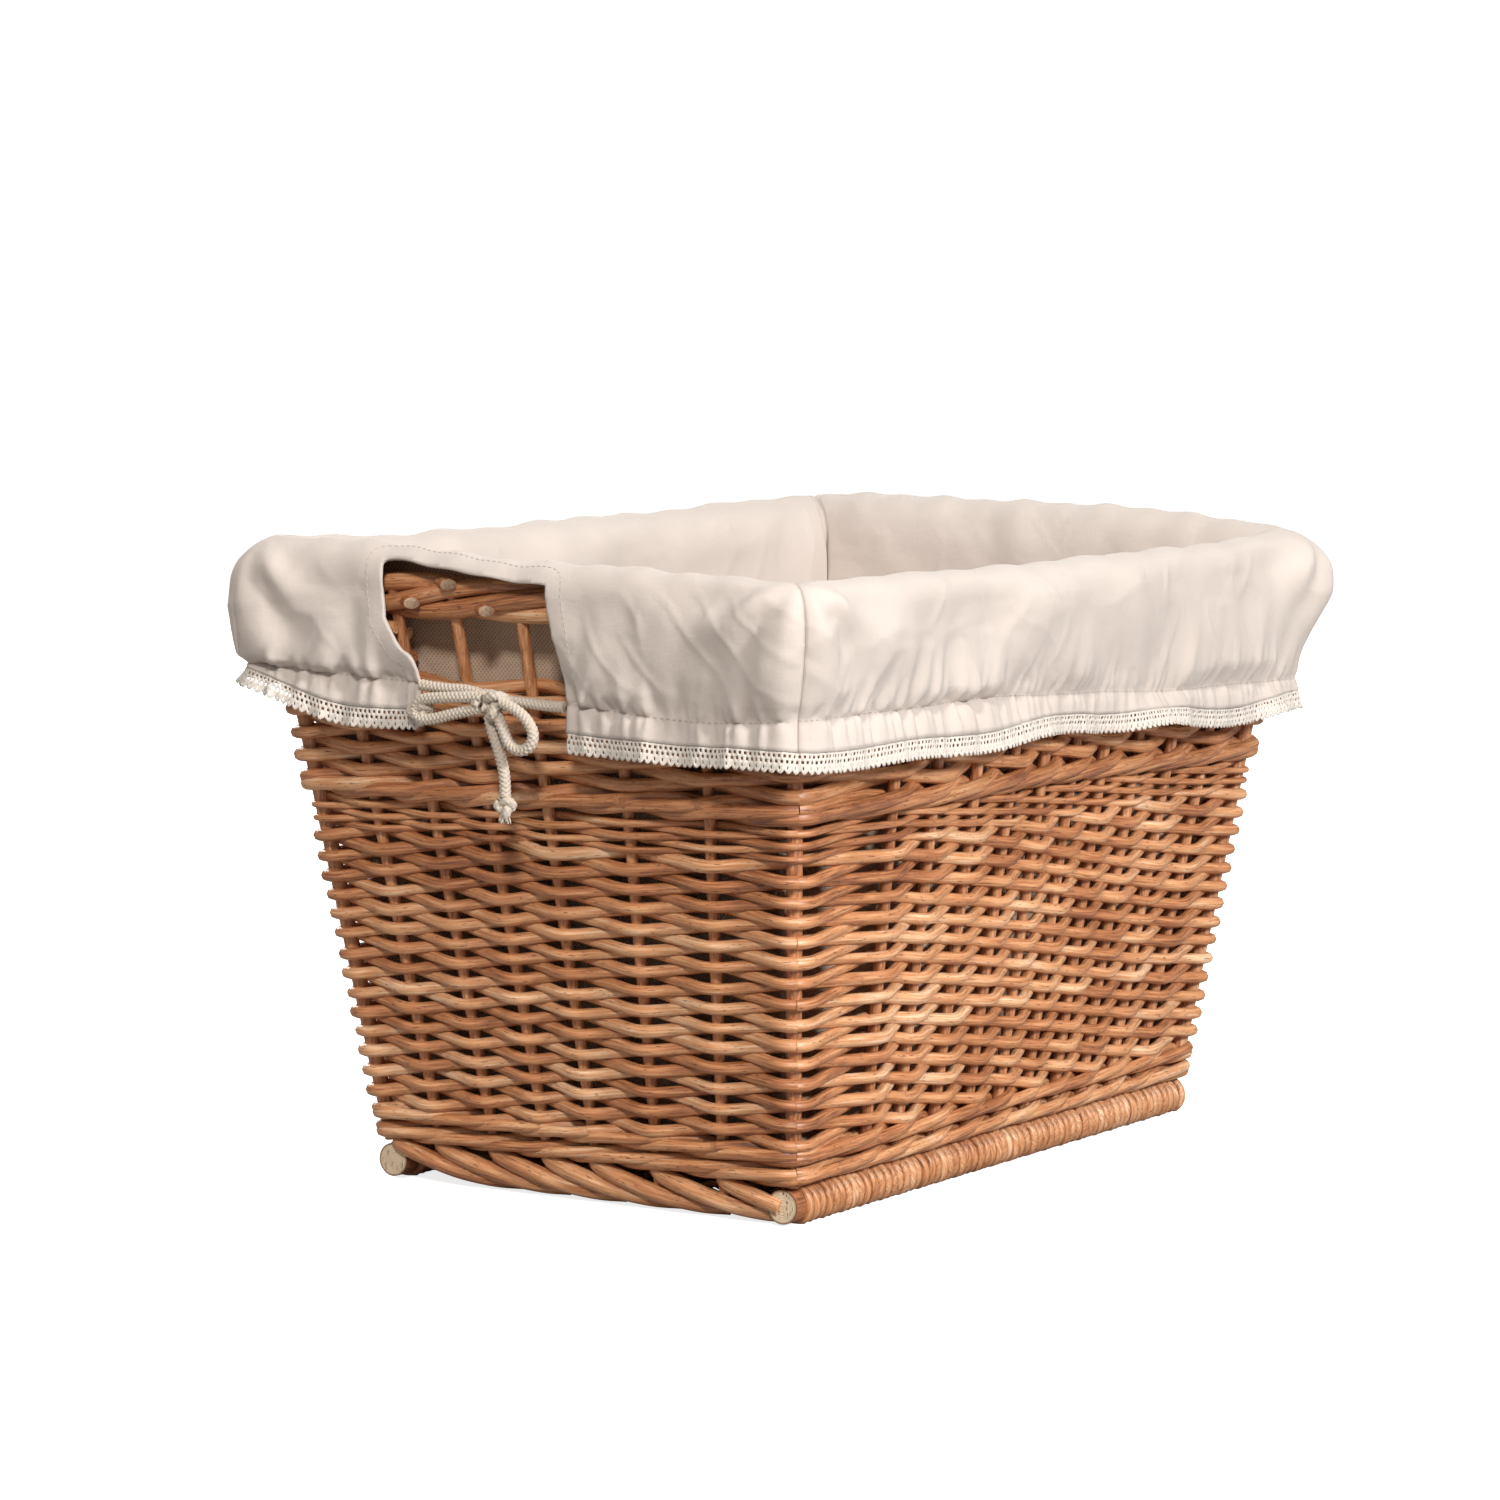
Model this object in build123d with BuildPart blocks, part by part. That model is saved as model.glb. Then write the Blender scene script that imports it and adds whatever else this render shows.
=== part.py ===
from build123d import *
import os
from math import radians, tan

os.makedirs("parts", exist_ok=True)

# Woven willow laundry basket with a cotton liner. X runs along the long sides, Y along the ends.
# front is -Y, back is +Y, left is -X and right is +X. The basket stands on z = 0.

# ---- driving dimensions ----
base_length = 394.0
base_width = 236.0
end_flare = 0.20          # each end leans out by this much per mm of height
side_flare = 0.111        # each long side leans out by this much per mm of height

base_top = 19.0           # top of the base sticks and of the foot borders
upsett_top = 38.0
siding_top = 187.0
wale_top = 211.0
hole_bottom = 247.0       # lower edge of the two handle holes
border_bottom = 274.0
border_top = 298.0

weave_thickness = 13.0
wale_bulge = 2.5
weave_corner = 8.0
stake_diameter = 5.6
post_diameter = 7.4
rod_clearance = 0.15

outer_stick_diameter = 16.0
outer_stick_axis = 9.2
wrap_outside = 9.6        # radius over the willow wrapping
wrap_start = -186.5
wrap_end = 196.0
inner_stick_diameter = 8.0
inner_stick_axis = 10.5
inner_stick_pitch = 36.0
base_weave_bottom = 5.5
base_weave_top = 15.5

border_length = 254.5     # half sizes of the border's outer face
border_width = 149.7
border_thickness = 16.0

cloth = 1.2
liner_floor = 19.5
liner_length_low = 186.4  # half sizes of the cloth bag at its floor and at the rim
liner_width_low = 105.9
liner_length_high = 236.8
liner_width_high = 132.6
rim_bottom = 298.6
rim_top = rim_bottom + cloth
cuff_gap = 2.4            # from the border's outer face to the cuff's outer face at the rim
cuff_bulge = 9.5
cuff_bulge_height = 282.0
gather_height = 238.0
gather_gap = 3.4
cuff_bottom = 228.0
hem_gap = 5.0
lace_bottom = 219.0
lace_thickness = 0.8
facing_width = 9.0
facing_thickness = 0.5

cord_diameter = 5.2
cord_plane = 258.2        # the drawcord crosses the handle openings at this distance from the middle
bow_plane = 264.0         # the loops of the bow lie in front of it
tail_plane = 259.5

# Where each stake stands, as a share of the half side, at its foot and at the border.
side_foot_shares = (-0.69, -0.54, -0.36, -0.19, -0.03, 0.12, 0.28, 0.43, 0.59, 0.75)
side_rim_shares = (-0.60, -0.42, -0.25, -0.10, 0.03, 0.16, 0.29, 0.45, 0.62, 0.81)
end_foot_shares = (-0.68, -0.36, -0.06, 0.18, 0.45, 0.73)
end_rim_shares = (-0.66, -0.32, 0.03, 0.29, 0.52, 0.76)
stake_foot = 9.0
stake_top = 290.0
post_top = 294.0
sides = ("front", "back", "left", "right")


# ---- the tapered shape ----
def half_length(height):
    return base_length / 2 + end_flare * height


def half_width(height):
    return base_width / 2 + side_flare * height


def bag_length(height):
    share = (height - liner_floor) / (rim_top - liner_floor)
    return liner_length_low + share * (liner_length_high - liner_length_low)


def bag_width(height):
    share = (height - liner_floor) / (rim_top - liner_floor)
    return liner_width_low + share * (liner_width_high - liner_width_low)


def tapered_block(bottom, low_size, top, high_size, corner):
    with BuildPart() as block:
        with BuildSketch(Plane.XY.offset(bottom)):
            RectangleRounded(2 * low_size[0], 2 * low_size[1], corner)
        with BuildSketch(Plane.XY.offset(top)):
            RectangleRounded(2 * high_size[0], 2 * high_size[1], corner)
        loft(ruled=True)
    return block.part


def ring(bottom, low_size, top, high_size, thickness, corner):
    inner_low = (low_size[0] - thickness, low_size[1] - thickness)
    inner_high = (high_size[0] - thickness, high_size[1] - thickness)
    inner_corner = max(corner - thickness, 1.0)
    with BuildPart() as band:
        add(tapered_block(bottom, low_size, top, high_size, corner))
        add(tapered_block(bottom, inner_low, top, inner_high, inner_corner), mode=Mode.SUBTRACT)
    return band.part


def weave_ring(bottom, top, bulge=0.0):
    low_size = (half_length(bottom) + bulge, half_width(bottom) + bulge)
    high_size = (half_length(top) + bulge, half_width(top) + bulge)
    return ring(bottom, low_size, top, high_size, weave_thickness + bulge, weave_corner + bulge)


def mitre_point(reach, x_sign, y_sign):
    x = base_length / 2 - weave_corner + end_flare * reach
    y = base_width / 2 - weave_corner + side_flare * reach
    return (x_sign * x, y_sign * y)


def side_wedge(side):
    outside = 600.0
    inside = -880.0
    signs = {"front": ((-1, -1), (1, -1)), "back": ((1, 1), (-1, 1)),
             "left": ((-1, 1), (-1, -1)), "right": ((1, -1), (1, 1))}
    first, second = signs[side]
    with BuildPart() as wedge:
        with BuildSketch(Plane.XY.offset(-5)):
            with BuildLine():
                Polyline(mitre_point(inside, *first), mitre_point(outside, *first),
                         mitre_point(outside, *second), mitre_point(inside, *second), close=True)
            make_face()
        extrude(amount=rim_top + 20)
    return wedge.part


def rod(start, end, start_diameter, end_diameter):
    along = end - start
    with BuildPart() as stick:
        with BuildSketch(Plane(origin=start, z_dir=along)):
            Circle(start_diameter / 2)
        with BuildSketch(Plane(origin=end, z_dir=along)):
            Circle(end_diameter / 2)
        loft()
    return stick.part


def write(name, part):
    part.label = name
    export_step(part, "parts/" + name + ".step")


# ---- where the stakes and the corner posts stand ----
def stake_ends(side, foot_share, rim_share):
    ends = []
    for share, height in ((foot_share, stake_foot), (rim_share, stake_top)):
        across = weave_thickness / 2
        if side in ("front", "back"):
            sign = -1 if side == "front" else 1
            x = share * (half_length(height) - weave_corner)
            ends.append(Vector(x, sign * (half_width(height) - across), height))
        else:
            sign = -1 if side == "left" else 1
            y = -sign * share * (half_width(height) - weave_corner)
            ends.append(Vector(sign * (half_length(height) - across), y, height))
    return ends


stake_lines = {}
for side in sides:
    if side in ("front", "back"):
        shares = zip(side_foot_shares, side_rim_shares)
    else:
        shares = zip(end_foot_shares, end_rim_shares)
    stake_lines[side] = [stake_ends(side, foot, rim) for foot, rim in shares]

post_lines = []
for x_sign in (-1, 1):
    for y_sign in (-1, 1):
        foot = mitre_point(base_top, x_sign, y_sign)
        head = mitre_point(post_top, x_sign, y_sign)
        post_lines.append((Vector(*foot, base_top), Vector(*head, post_top)))

with BuildPart() as stake_holes:
    for side in sides:
        for start, end in stake_lines[side]:
            reach = (end - start).normalized() * 0.2
            width = stake_diameter + 2 * rod_clearance
            add(rod(start - reach, end + reach, width, width))
    for start, end in post_lines:
        reach = (end - start).normalized() * 0.2
        width = post_diameter + 2 * rod_clearance
        add(rod(start - reach, end + reach, width, width))


def side_piece(stock, side):
    with BuildPart() as piece:
        add(stock)
        add(side_wedge(side), mode=Mode.INTERSECT)
        add(stake_holes.part, mode=Mode.SUBTRACT)
    return piece.part


# ---- base: outer sticks with their wrapping, inner sticks, base weave and foot borders ----
for side, sign in (("front", -1), ("back", 1)):
    stick_y = sign * (base_width / 2 - wrap_outside + 0.4)
    with BuildPart() as outer_stick:
        with BuildSketch(Plane.YZ.offset(-base_length / 2)):
            with Locations((stick_y, outer_stick_axis)):
                Circle(outer_stick_diameter / 2)
        extrude(amount=base_length)
        add(stake_holes.part, mode=Mode.SUBTRACT)
    write("outer_base_stick_" + side, outer_stick.part)

    with BuildPart() as wrapping:
        with BuildSketch(Plane.YZ.offset(wrap_start)):
            with Locations((stick_y, outer_stick_axis)):
                Circle(wrap_outside)
                Circle(outer_stick_diameter / 2 + 0.02, mode=Mode.SUBTRACT)
            with Locations((stick_y, -wrap_outside)):
                Rectangle(3 * wrap_outside, 2 * wrap_outside, mode=Mode.SUBTRACT)
        extrude(amount=wrap_end - wrap_start)
        add(stake_holes.part, mode=Mode.SUBTRACT)
    write("base_wrapping_" + side, wrapping.part)

foot_inside = base_length / 2 - 11.0
foot_half_width = base_width / 2 - 2 * wrap_outside - 0.3
inner_stick_places = [inner_stick_pitch * step for step in range(-2, 3)]

with BuildPart() as inner_sticks:
    with BuildSketch(Plane.YZ.offset(-foot_inside + 0.3)):
        with Locations([(y, inner_stick_axis) for y in inner_stick_places]):
            Circle(inner_stick_diameter / 2)
    extrude(amount=2 * foot_inside - 0.6)
write("inner_base_sticks", inner_sticks.part)

with BuildPart() as base_weave:
    with BuildSketch(Plane.YZ.offset(-foot_inside + 0.3)):
        with Locations((0, (base_weave_bottom + base_weave_top) / 2)):
            Rectangle(2 * foot_half_width, base_weave_top - base_weave_bottom)
        with Locations([(y, inner_stick_axis) for y in inner_stick_places]):
            Circle(inner_stick_diameter / 2 + rod_clearance, mode=Mode.SUBTRACT)
    extrude(amount=2 * foot_inside - 0.6)
write("base_weave", base_weave.part)

for side, sign in (("left", -1), ("right", 1)):
    with BuildPart() as foot_border:
        with BuildSketch(Plane.XZ.offset(-foot_half_width)):
            with BuildLine():
                inner = sign * foot_inside
                outer = sign * (base_length / 2 + 2.0)
                Polyline((inner, 1.0), (outer, 1.0), (sign * half_length(base_top), base_top),
                         (inner, base_top), close=True)
            make_face()
        extrude(amount=2 * foot_half_width)
        fillet(foot_border.edges().filter_by(Axis.Y).group_by(Axis.Z)[0], 3.0)
        add(stake_holes.part, mode=Mode.SUBTRACT)
    write("foot_border_" + side, foot_border.part)

# ---- stakes and corner posts ----
for side in sides:
    with BuildPart() as stakes:
        for start, end in stake_lines[side]:
            add(rod(start, end, stake_diameter, stake_diameter))
    write(side + "_stakes", stakes.part)

with BuildPart() as corner_posts:
    for start, end in post_lines:
        add(rod(start, end, post_diameter, post_diameter))
write("corner_posts", corner_posts.part)

# ---- woven bands, one piece to a side, mitred at the corner posts ----
bands = {
    "upsett_wale": weave_ring(base_top, upsett_top, 0.5),
    "siding": weave_ring(upsett_top, siding_top),
    "upper_wale": weave_ring(siding_top, wale_top, wale_bulge),
}
for band_name, band in bands.items():
    for side in sides:
        write(side + "_" + band_name, side_piece(band, side))

upper_siding = weave_ring(wale_top, border_bottom)
for side in ("front", "back"):
    write(side + "_upper_siding", side_piece(upper_siding, side))

handle_siding = weave_ring(wale_top, hole_bottom)
cheek_siding = weave_ring(hole_bottom, border_bottom)
for side, sign in (("left", -1), ("right", 1)):
    write(side + "_upper_siding", side_piece(handle_siding, side))
    hole_first = stake_lines[side][1][1].Y
    hole_last = stake_lines[side][4][1].Y
    with BuildPart() as cheeks:
        add(side_piece(cheek_siding, side))
        with BuildSketch(Plane.XY.offset(hole_bottom - 1)):
            with Locations((sign * half_length(border_bottom), (hole_first + hole_last) / 2)):
                Rectangle(80, abs(hole_last - hole_first))
        extrude(amount=border_bottom - hole_bottom + 2, mode=Mode.SUBTRACT)
    write(side + "_handle_cheeks", cheeks.part)

border_size = (border_length, border_width)
border_ring = ring(border_bottom, border_size, border_top, border_size, border_thickness, weave_corner)
with BuildPart() as rounded_border:
    add(border_ring)
    fillet(rounded_border.faces().sort_by(Axis.Z)[-1].outer_wire().edges(), 5.0)
for side in sides:
    write(side + "_border", side_piece(rounded_border.part, side))

# ---- liner: bottom, four panels, four cuffs over the border, facings and lace ----
with BuildPart() as liner_bottom:
    with BuildSketch(Plane.XY.offset(liner_floor)):
        RectangleRounded(2 * (liner_length_low - cloth), 2 * (liner_width_low - cloth), 6.0)
    extrude(amount=cloth)
write("liner_bottom", liner_bottom.part)

low_size = (liner_length_low, liner_width_low)
high_size = (bag_length(rim_bottom), bag_width(rim_bottom))
bag = ring(liner_floor, low_size, rim_bottom, high_size, cloth, 7.0)


def cut_to_side(stock, side):
    with BuildPart() as piece:
        add(stock)
        add(side_wedge(side), mode=Mode.INTERSECT)
    return piece.part


for side in sides:
    write("liner_" + side + "_panel", cut_to_side(bag, side))

# heights of the cuff's outer face and how far it stands out from the border there
cuff_profile = (
    (rim_top, cuff_gap),
    (cuff_bulge_height, cuff_bulge),
    (gather_height, gather_gap),
    (cuff_bottom, hem_gap),
)


def skirt(outward, thickness):
    with BuildPart() as wall:
        for (top, top_gap), (bottom, bottom_gap) in zip(cuff_profile, cuff_profile[1:]):
            low = (border_length + bottom_gap + outward, border_width + bottom_gap + outward)
            high = (border_length + top_gap + outward, border_width + top_gap + outward)
            add(ring(bottom, low, top, high, thickness, 10.0))
    return wall.part


rim_size = (border_length + cuff_gap, border_width + cuff_gap)
with BuildPart() as cuff:
    add(skirt(0.0, cloth))
    add(tapered_block(rim_bottom, rim_size, rim_top, rim_size, 10.0))
    inside_low = (bag_length(rim_bottom) - cloth, bag_width(rim_bottom) - cloth)
    inside_high = (bag_length(rim_top) - cloth, bag_width(rim_top) - cloth)
    add(tapered_block(rim_bottom, inside_low, rim_top, inside_high, 6.0), mode=Mode.SUBTRACT)

# handle cut-out in the left cuff, as (y, z): wide at the rim and closing in towards the drawcord
cut_out = [(-28.0, 200.0), (-28.0, 250.0), (-21.5, 281.0), (-20.0, 292.0), (35.0, 295.0), (72.0, 296.5),
           (74.5, 291.0), (72.0, 272.0), (60.0, 258.0), (52.0, 245.0), (51.0, 200.0)]


def cut_out_block(grow):
    with BuildPart() as block:
        with BuildSketch(Plane.YZ.offset(-border_length - 30)):
            with BuildLine():
                Polyline(*cut_out, close=True)
            make_face()
            if grow > 0:
                offset(amount=grow, kind=Kind.INTERSECTION)
        extrude(amount=32)
    return block.part


def turned(part):
    return part.rotate(Axis.Z, 180)


for side in ("front", "back"):
    write("liner_" + side + "_cuff", cut_to_side(cuff.part, side))
with BuildPart() as left_cuff:
    add(cut_to_side(cuff.part, "left"))
    add(cut_out_block(0), mode=Mode.SUBTRACT)
write("liner_left_cuff", left_cuff.part)
write("liner_right_cuff", turned(left_cuff.part))

with BuildPart() as left_facing:
    add(skirt(facing_thickness + 0.05, facing_thickness))
    add(cut_out_block(facing_width), mode=Mode.INTERSECT)
    add(cut_out_block(0), mode=Mode.SUBTRACT)
write("left_handle_facing", left_facing.part)
write("right_handle_facing", turned(left_facing.part))

lace_size = (border_length + hem_gap, border_width + hem_gap)
with BuildPart() as lace:
    add(ring(lace_bottom, lace_size, cuff_bottom, lace_size, lace_thickness, 10.0))
    add(cut_out_block(0), mode=Mode.SUBTRACT)
    add(turned(cut_out_block(0)), mode=Mode.SUBTRACT)
write("front_lace", Part(lace.part.solids().sort_by(Axis.Y)[0].wrapped))
write("back_lace", Part(lace.part.solids().sort_by(Axis.Y)[-1].wrapped))


# ---- drawcord: tied in a bow across the left handle opening, plain across the right one ----
def cord_tube(name, points):
    route = [Vector(*point) for point in points]
    radii = []
    for before, corner, after in zip(route, route[1:], route[2:]):
        turn = (corner - before).get_angle(after - corner)
        shorter = min((corner - before).length, (after - corner).length)
        radii.append(0.45 * shorter / tan(radians(turn / 2)))
    with BuildPart() as tube:
        with BuildLine() as centre:
            FilletPolyline(*route, radius=radii)
        with BuildSketch(Plane(origin=route[0], z_dir=route[1] - route[0])):
            Circle(cord_diameter / 2)
        sweep(path=centre.wire())
    length = centre.wire().length
    expected = length * 3.14159 * cord_diameter ** 2 / 4
    print(name, "length", round(length, 1), "volume share", round(tube.part.volume / expected, 4),
          "radii", [round(radius, 1) for radius in radii])
    return tube.part


knot_centre = (-261.5, 9.5, 238.5)
with BuildPart() as bow_knot:
    with BuildSketch(Plane(origin=knot_centre, x_dir=(0, 1, 0), z_dir=(1, 0, 0))):
        Ellipse(9.0, 6.2)
        with Locations((0, -10)):
            Rectangle(40, 20, mode=Mode.SUBTRACT)
    revolve(axis=Axis(knot_centre, (0, 1, 0)))
write("left_bow_knot", bow_knot.part)

lead_front_route = [(-cord_plane, -27.9, 238.6), (-cord_plane, -14.0, 238.9), (-cord_plane, 3.0, 240.0)]
lead_back_route = [(-cord_plane, 51.0, 244.6), (-cord_plane, 38.0, 243.2), (-cord_plane, 24.0, 243.9),
                   (-cord_plane, 13.0, 241.0)]
loop_front_route = [(-bow_plane, 3.0, 240.0), (-bow_plane, -4.5, 237.4), (-bow_plane, -11.5, 232.8),
                    (-bow_plane, -15.6, 226.4), (-bow_plane, -13.8, 220.2), (-bow_plane, -7.8, 217.6),
                    (-bow_plane, -2.0, 220.2), (-263.2, 1.6, 226.6), (-261.8, 6.4, 234.2)]
loop_back_route = [(-bow_plane, 13.0, 241.4), (-bow_plane, 22.0, 242.6), (-bow_plane, 33.0, 243.4),
                   (-bow_plane, 42.5, 241.4), (-bow_plane, 48.6, 236.4), (-bow_plane, 46.4, 230.8),
                   (-bow_plane, 38.0, 229.8), (-bow_plane, 27.0, 232.6), (-263.4, 14.5, 235.6)]
tail_route = [(-tail_plane, 12.6, 236.0), (-tail_plane, 11.6, 229.0), (-tail_plane, 8.2, 221.0),
              (-tail_plane, 5.0, 212.6), (-tail_plane, 3.0, 204.0), (-tail_plane, 3.0, 196.2)]
routes = {
    "left_cord_lead_front": lead_front_route,
    "left_cord_lead_back": lead_back_route,
    "left_bow_loop_front": loop_front_route,
    "left_bow_loop_back": loop_back_route,
    "left_cord_tail": tail_route,
}
for name, route in routes.items():
    with BuildPart() as strand:
        add(cord_tube(name, route))
        add(bow_knot.part, mode=Mode.SUBTRACT)
    write(name, Part(strand.part.solids().sort_by(SortBy.VOLUME)[-1].wrapped))

# knot at the tail's end, with the frayed tuft below it
with BuildPart() as tail_knot:
    with BuildSketch(Plane(origin=(-tail_plane, 3.0, 196.2), x_dir=(1, 0, 0), z_dir=(0, -1, 0))):
        with BuildLine():
            Polyline((0, 0), (2.4, 0), (4.4, -3.0), (4.4, -6.5), (2.6, -9.5), (3.4, -13.0), (0, -13.0),
                     close=True)
        make_face()
    revolve(axis=Axis((-tail_plane, 3.0, 196.2), (0, 0, 1)))
write("left_tail_knot", tail_knot.part)

crossing_route = [(cord_plane, -50.8, 243.0), (cord_plane, -26.0, 238.8), (cord_plane, 2.0, 237.4),
                  (cord_plane, 27.8, 238.6)]
write("right_cord_crossing", cord_tube("right_cord_crossing", crossing_route))
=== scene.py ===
import bpy
import math
import numpy as np
from mathutils import Matrix, Vector


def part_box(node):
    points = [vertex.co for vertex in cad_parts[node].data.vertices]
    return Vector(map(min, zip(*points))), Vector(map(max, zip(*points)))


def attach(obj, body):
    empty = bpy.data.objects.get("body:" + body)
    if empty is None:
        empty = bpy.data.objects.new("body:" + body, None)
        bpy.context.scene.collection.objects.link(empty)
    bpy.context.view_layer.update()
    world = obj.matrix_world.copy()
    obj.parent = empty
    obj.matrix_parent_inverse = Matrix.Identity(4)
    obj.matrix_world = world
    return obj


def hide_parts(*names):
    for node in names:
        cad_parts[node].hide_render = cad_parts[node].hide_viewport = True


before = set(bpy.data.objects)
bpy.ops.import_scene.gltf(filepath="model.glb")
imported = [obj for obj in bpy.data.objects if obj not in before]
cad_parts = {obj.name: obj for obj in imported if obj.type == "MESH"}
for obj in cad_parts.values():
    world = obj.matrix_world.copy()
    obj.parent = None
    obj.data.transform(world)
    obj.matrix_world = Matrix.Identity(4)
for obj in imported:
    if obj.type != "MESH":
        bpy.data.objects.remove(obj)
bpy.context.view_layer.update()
mm = 0.001
print("stage: frame loaded")


def placed(name, data):
    thing = bpy.data.objects.new(name, data)
    bpy.context.scene.collection.objects.link(thing)
    return thing


# ---- camera ----
cameraSet = {"azimuth": -59.2, "elevation": 5.6, "roll": 0.7, "distance": 2.5517, "aimHeight": 0.1956,
             "lens": 123.06, "sensor": 36.0, "shiftX": -0.0358, "shiftY": 0.0028}


def makeCamera(s):
    turn, lift, roll = (math.radians(s[k]) for k in ("azimuth", "elevation", "roll"))
    back = Vector((math.sin(turn) * math.cos(lift), -math.cos(turn) * math.cos(lift), math.sin(lift)))
    right = Vector((math.cos(turn), math.sin(turn), 0))
    up = back.cross(right)
    rolledRight = right * math.cos(roll) + up * math.sin(roll)
    rolledUp = back.cross(rolledRight)
    camera = placed("camera", bpy.data.cameras.new("camera"))
    camera.matrix_world = Matrix.Translation(Vector((0, 0, s["aimHeight"])) + back * s["distance"]) @ Matrix(
        (rolledRight, rolledUp, back)).transposed().to_4x4()
    camera.data.lens, camera.data.sensor_width = s["lens"], s["sensor"]
    camera.data.shift_x, camera.data.shift_y = s["shiftX"], s["shiftY"]
    camera.data.clip_start, camera.data.clip_end = 0.1, 50
    bpy.context.scene.camera = camera


makeCamera(cameraSet)


# ---- shader helpers ----
class Wire:  # one socket, so that shader sums read as Python sums
    def __init__(self, finish, socket):
        self.finish, self.socket = finish, socket

    def sum(self, operation, first, second=0.0):
        return self.finish.make("ShaderNodeMath", {"operation": operation}, {0: first, 1: second})

    def __add__(self, other): return self.sum("ADD", self, other)
    def __radd__(self, other): return self.sum("ADD", other, self)
    def __sub__(self, other): return self.sum("SUBTRACT", self, other)
    def __mul__(self, other): return self.sum("MULTIPLY", self, other)
    def __pow__(self, other): return self.sum("POWER", self, other)
    def __gt__(self, other): return self.sum("GREATER_THAN", self, other)
    def sine(self): return self.sum("SINE", self)
    def size(self): return self.sum("ABSOLUTE", self)


class Finish:  # one material and its nodes
    def __init__(self, name):
        self.material = bpy.data.materials.new(name)
        self.material.use_nodes = True
        self.tree = self.material.node_tree
        self.tree.nodes.clear()

    def make(self, kind, settings=None, inputs=None, output=0):
        node = self.tree.nodes.new(kind)
        for key, value in (settings or {}).items():
            if key == "stops":
                ramp = node.color_ramp
                while len(ramp.elements) < len(value):
                    ramp.elements.new(0.5)
                for element, (place, colour) in zip(ramp.elements, value):
                    element.position, element.color = place, (*colour, 1)
            else:
                setattr(node, key, value)
        for key, value in (inputs or {}).items():
            if isinstance(value, Wire):
                self.tree.links.new(value.socket, node.inputs[key])
            else:
                node.inputs[key].default_value = value
        return Wire(self, node.outputs[output])

    def objectPlace(self):
        return self.make("ShaderNodeTexCoord", output="Object")

    def attribute(self, name, output="Fac"):
        return self.make("ShaderNodeAttribute", {"attribute_name": name}, output=output)

    def stretched(self, vector, scale):
        return self.make("ShaderNodeVectorMath", {"operation": "MULTIPLY"}, {0: vector, 1: scale})

    def shifted(self, vector, amount):
        triple = self.make("ShaderNodeCombineXYZ", inputs={0: amount, 1: amount * 1.7, 2: amount * 2.3})
        return self.make("ShaderNodeVectorMath", {"operation": "ADD"}, {0: vector, 1: triple})

    def axis(self, vector, index):
        return self.make("ShaderNodeSeparateXYZ", inputs={0: vector}, output=index)

    def noise(self, vector, scale, detail=3.0, rough=0.55):
        return self.make("ShaderNodeTexNoise", inputs={"Vector": vector, "Scale": scale, "Detail": detail,
                                                       "Roughness": rough})

    def ramp(self, value, stops):
        return self.make("ShaderNodeValToRGB", {"stops": stops}, {0: value})

    def between(self, value, low, high, lowOut=0.0, highOut=1.0):
        return self.make("ShaderNodeMapRange", {"clamp": True},
                         {0: value, 1: low, 2: high, 3: lowOut, 4: highOut})

    def mix(self, factor, first, second):
        def colour(c): return c if isinstance(c, Wire) else (*c, 1)
        return self.make("ShaderNodeMix", {"data_type": "RGBA"},
                         {0: factor, 6: colour(first), 7: colour(second)}, 2)

    def bump(self, height, distance, strength, normal=None):
        inputs = {"Height": height, "Distance": distance, "Strength": strength}
        if normal:
            inputs["Normal"] = normal
        return self.make("ShaderNodeBump", inputs=inputs)

    def surface(self, colour, rough, normal=None, **fixed):
        inputs = {"Base Color": colour, "Roughness": rough}
        if normal:
            inputs["Normal"] = normal
        shader = self.make("ShaderNodeBsdfPrincipled", inputs={**inputs, **fixed})
        out = self.tree.nodes.new("ShaderNodeOutputMaterial")
        self.tree.links.new(shader.socket, out.inputs["Surface"])
        self.shown, self.out = shader, out
        return self.material

    # The stage floor is bright to look at, but plain and darker for the light that it throws back.
    def twoWays(self, bounce):
        plain = self.make("ShaderNodeBsdfDiffuse", inputs={"Color": (*bounce, 1)})
        seen = self.make("ShaderNodeLightPath", output="Is Camera Ray")
        both = self.make("ShaderNodeMixShader", inputs={0: seen, 1: plain, 2: self.shown})
        self.tree.links.new(both.socket, self.out.inputs["Surface"])


# ---- materials ----
willowSet = {"dark": (0.14, 0.045, 0.018), "brown": (0.35, 0.125, 0.046), "mid": (0.54, 0.225, 0.09),
             "buff": (0.67, 0.34, 0.16), "pale": (0.85, 0.58, 0.37), "speck": (0.07, 0.022, 0.012),
             "wood": (0.4, 0.27, 0.165), "pith": (0.22, 0.13, 0.075), "rodGrain": (45, 900, 900),
             "toneShare": 0.36, "streakShare": 1.25, "patchShare": 0.5, "middle": 0.52, "speckFrom": 0.63,
             "coat": {"Specular IOR Level": 0.55, "Coat Weight": 0.3, "Coat Roughness": 0.38}}


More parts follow.
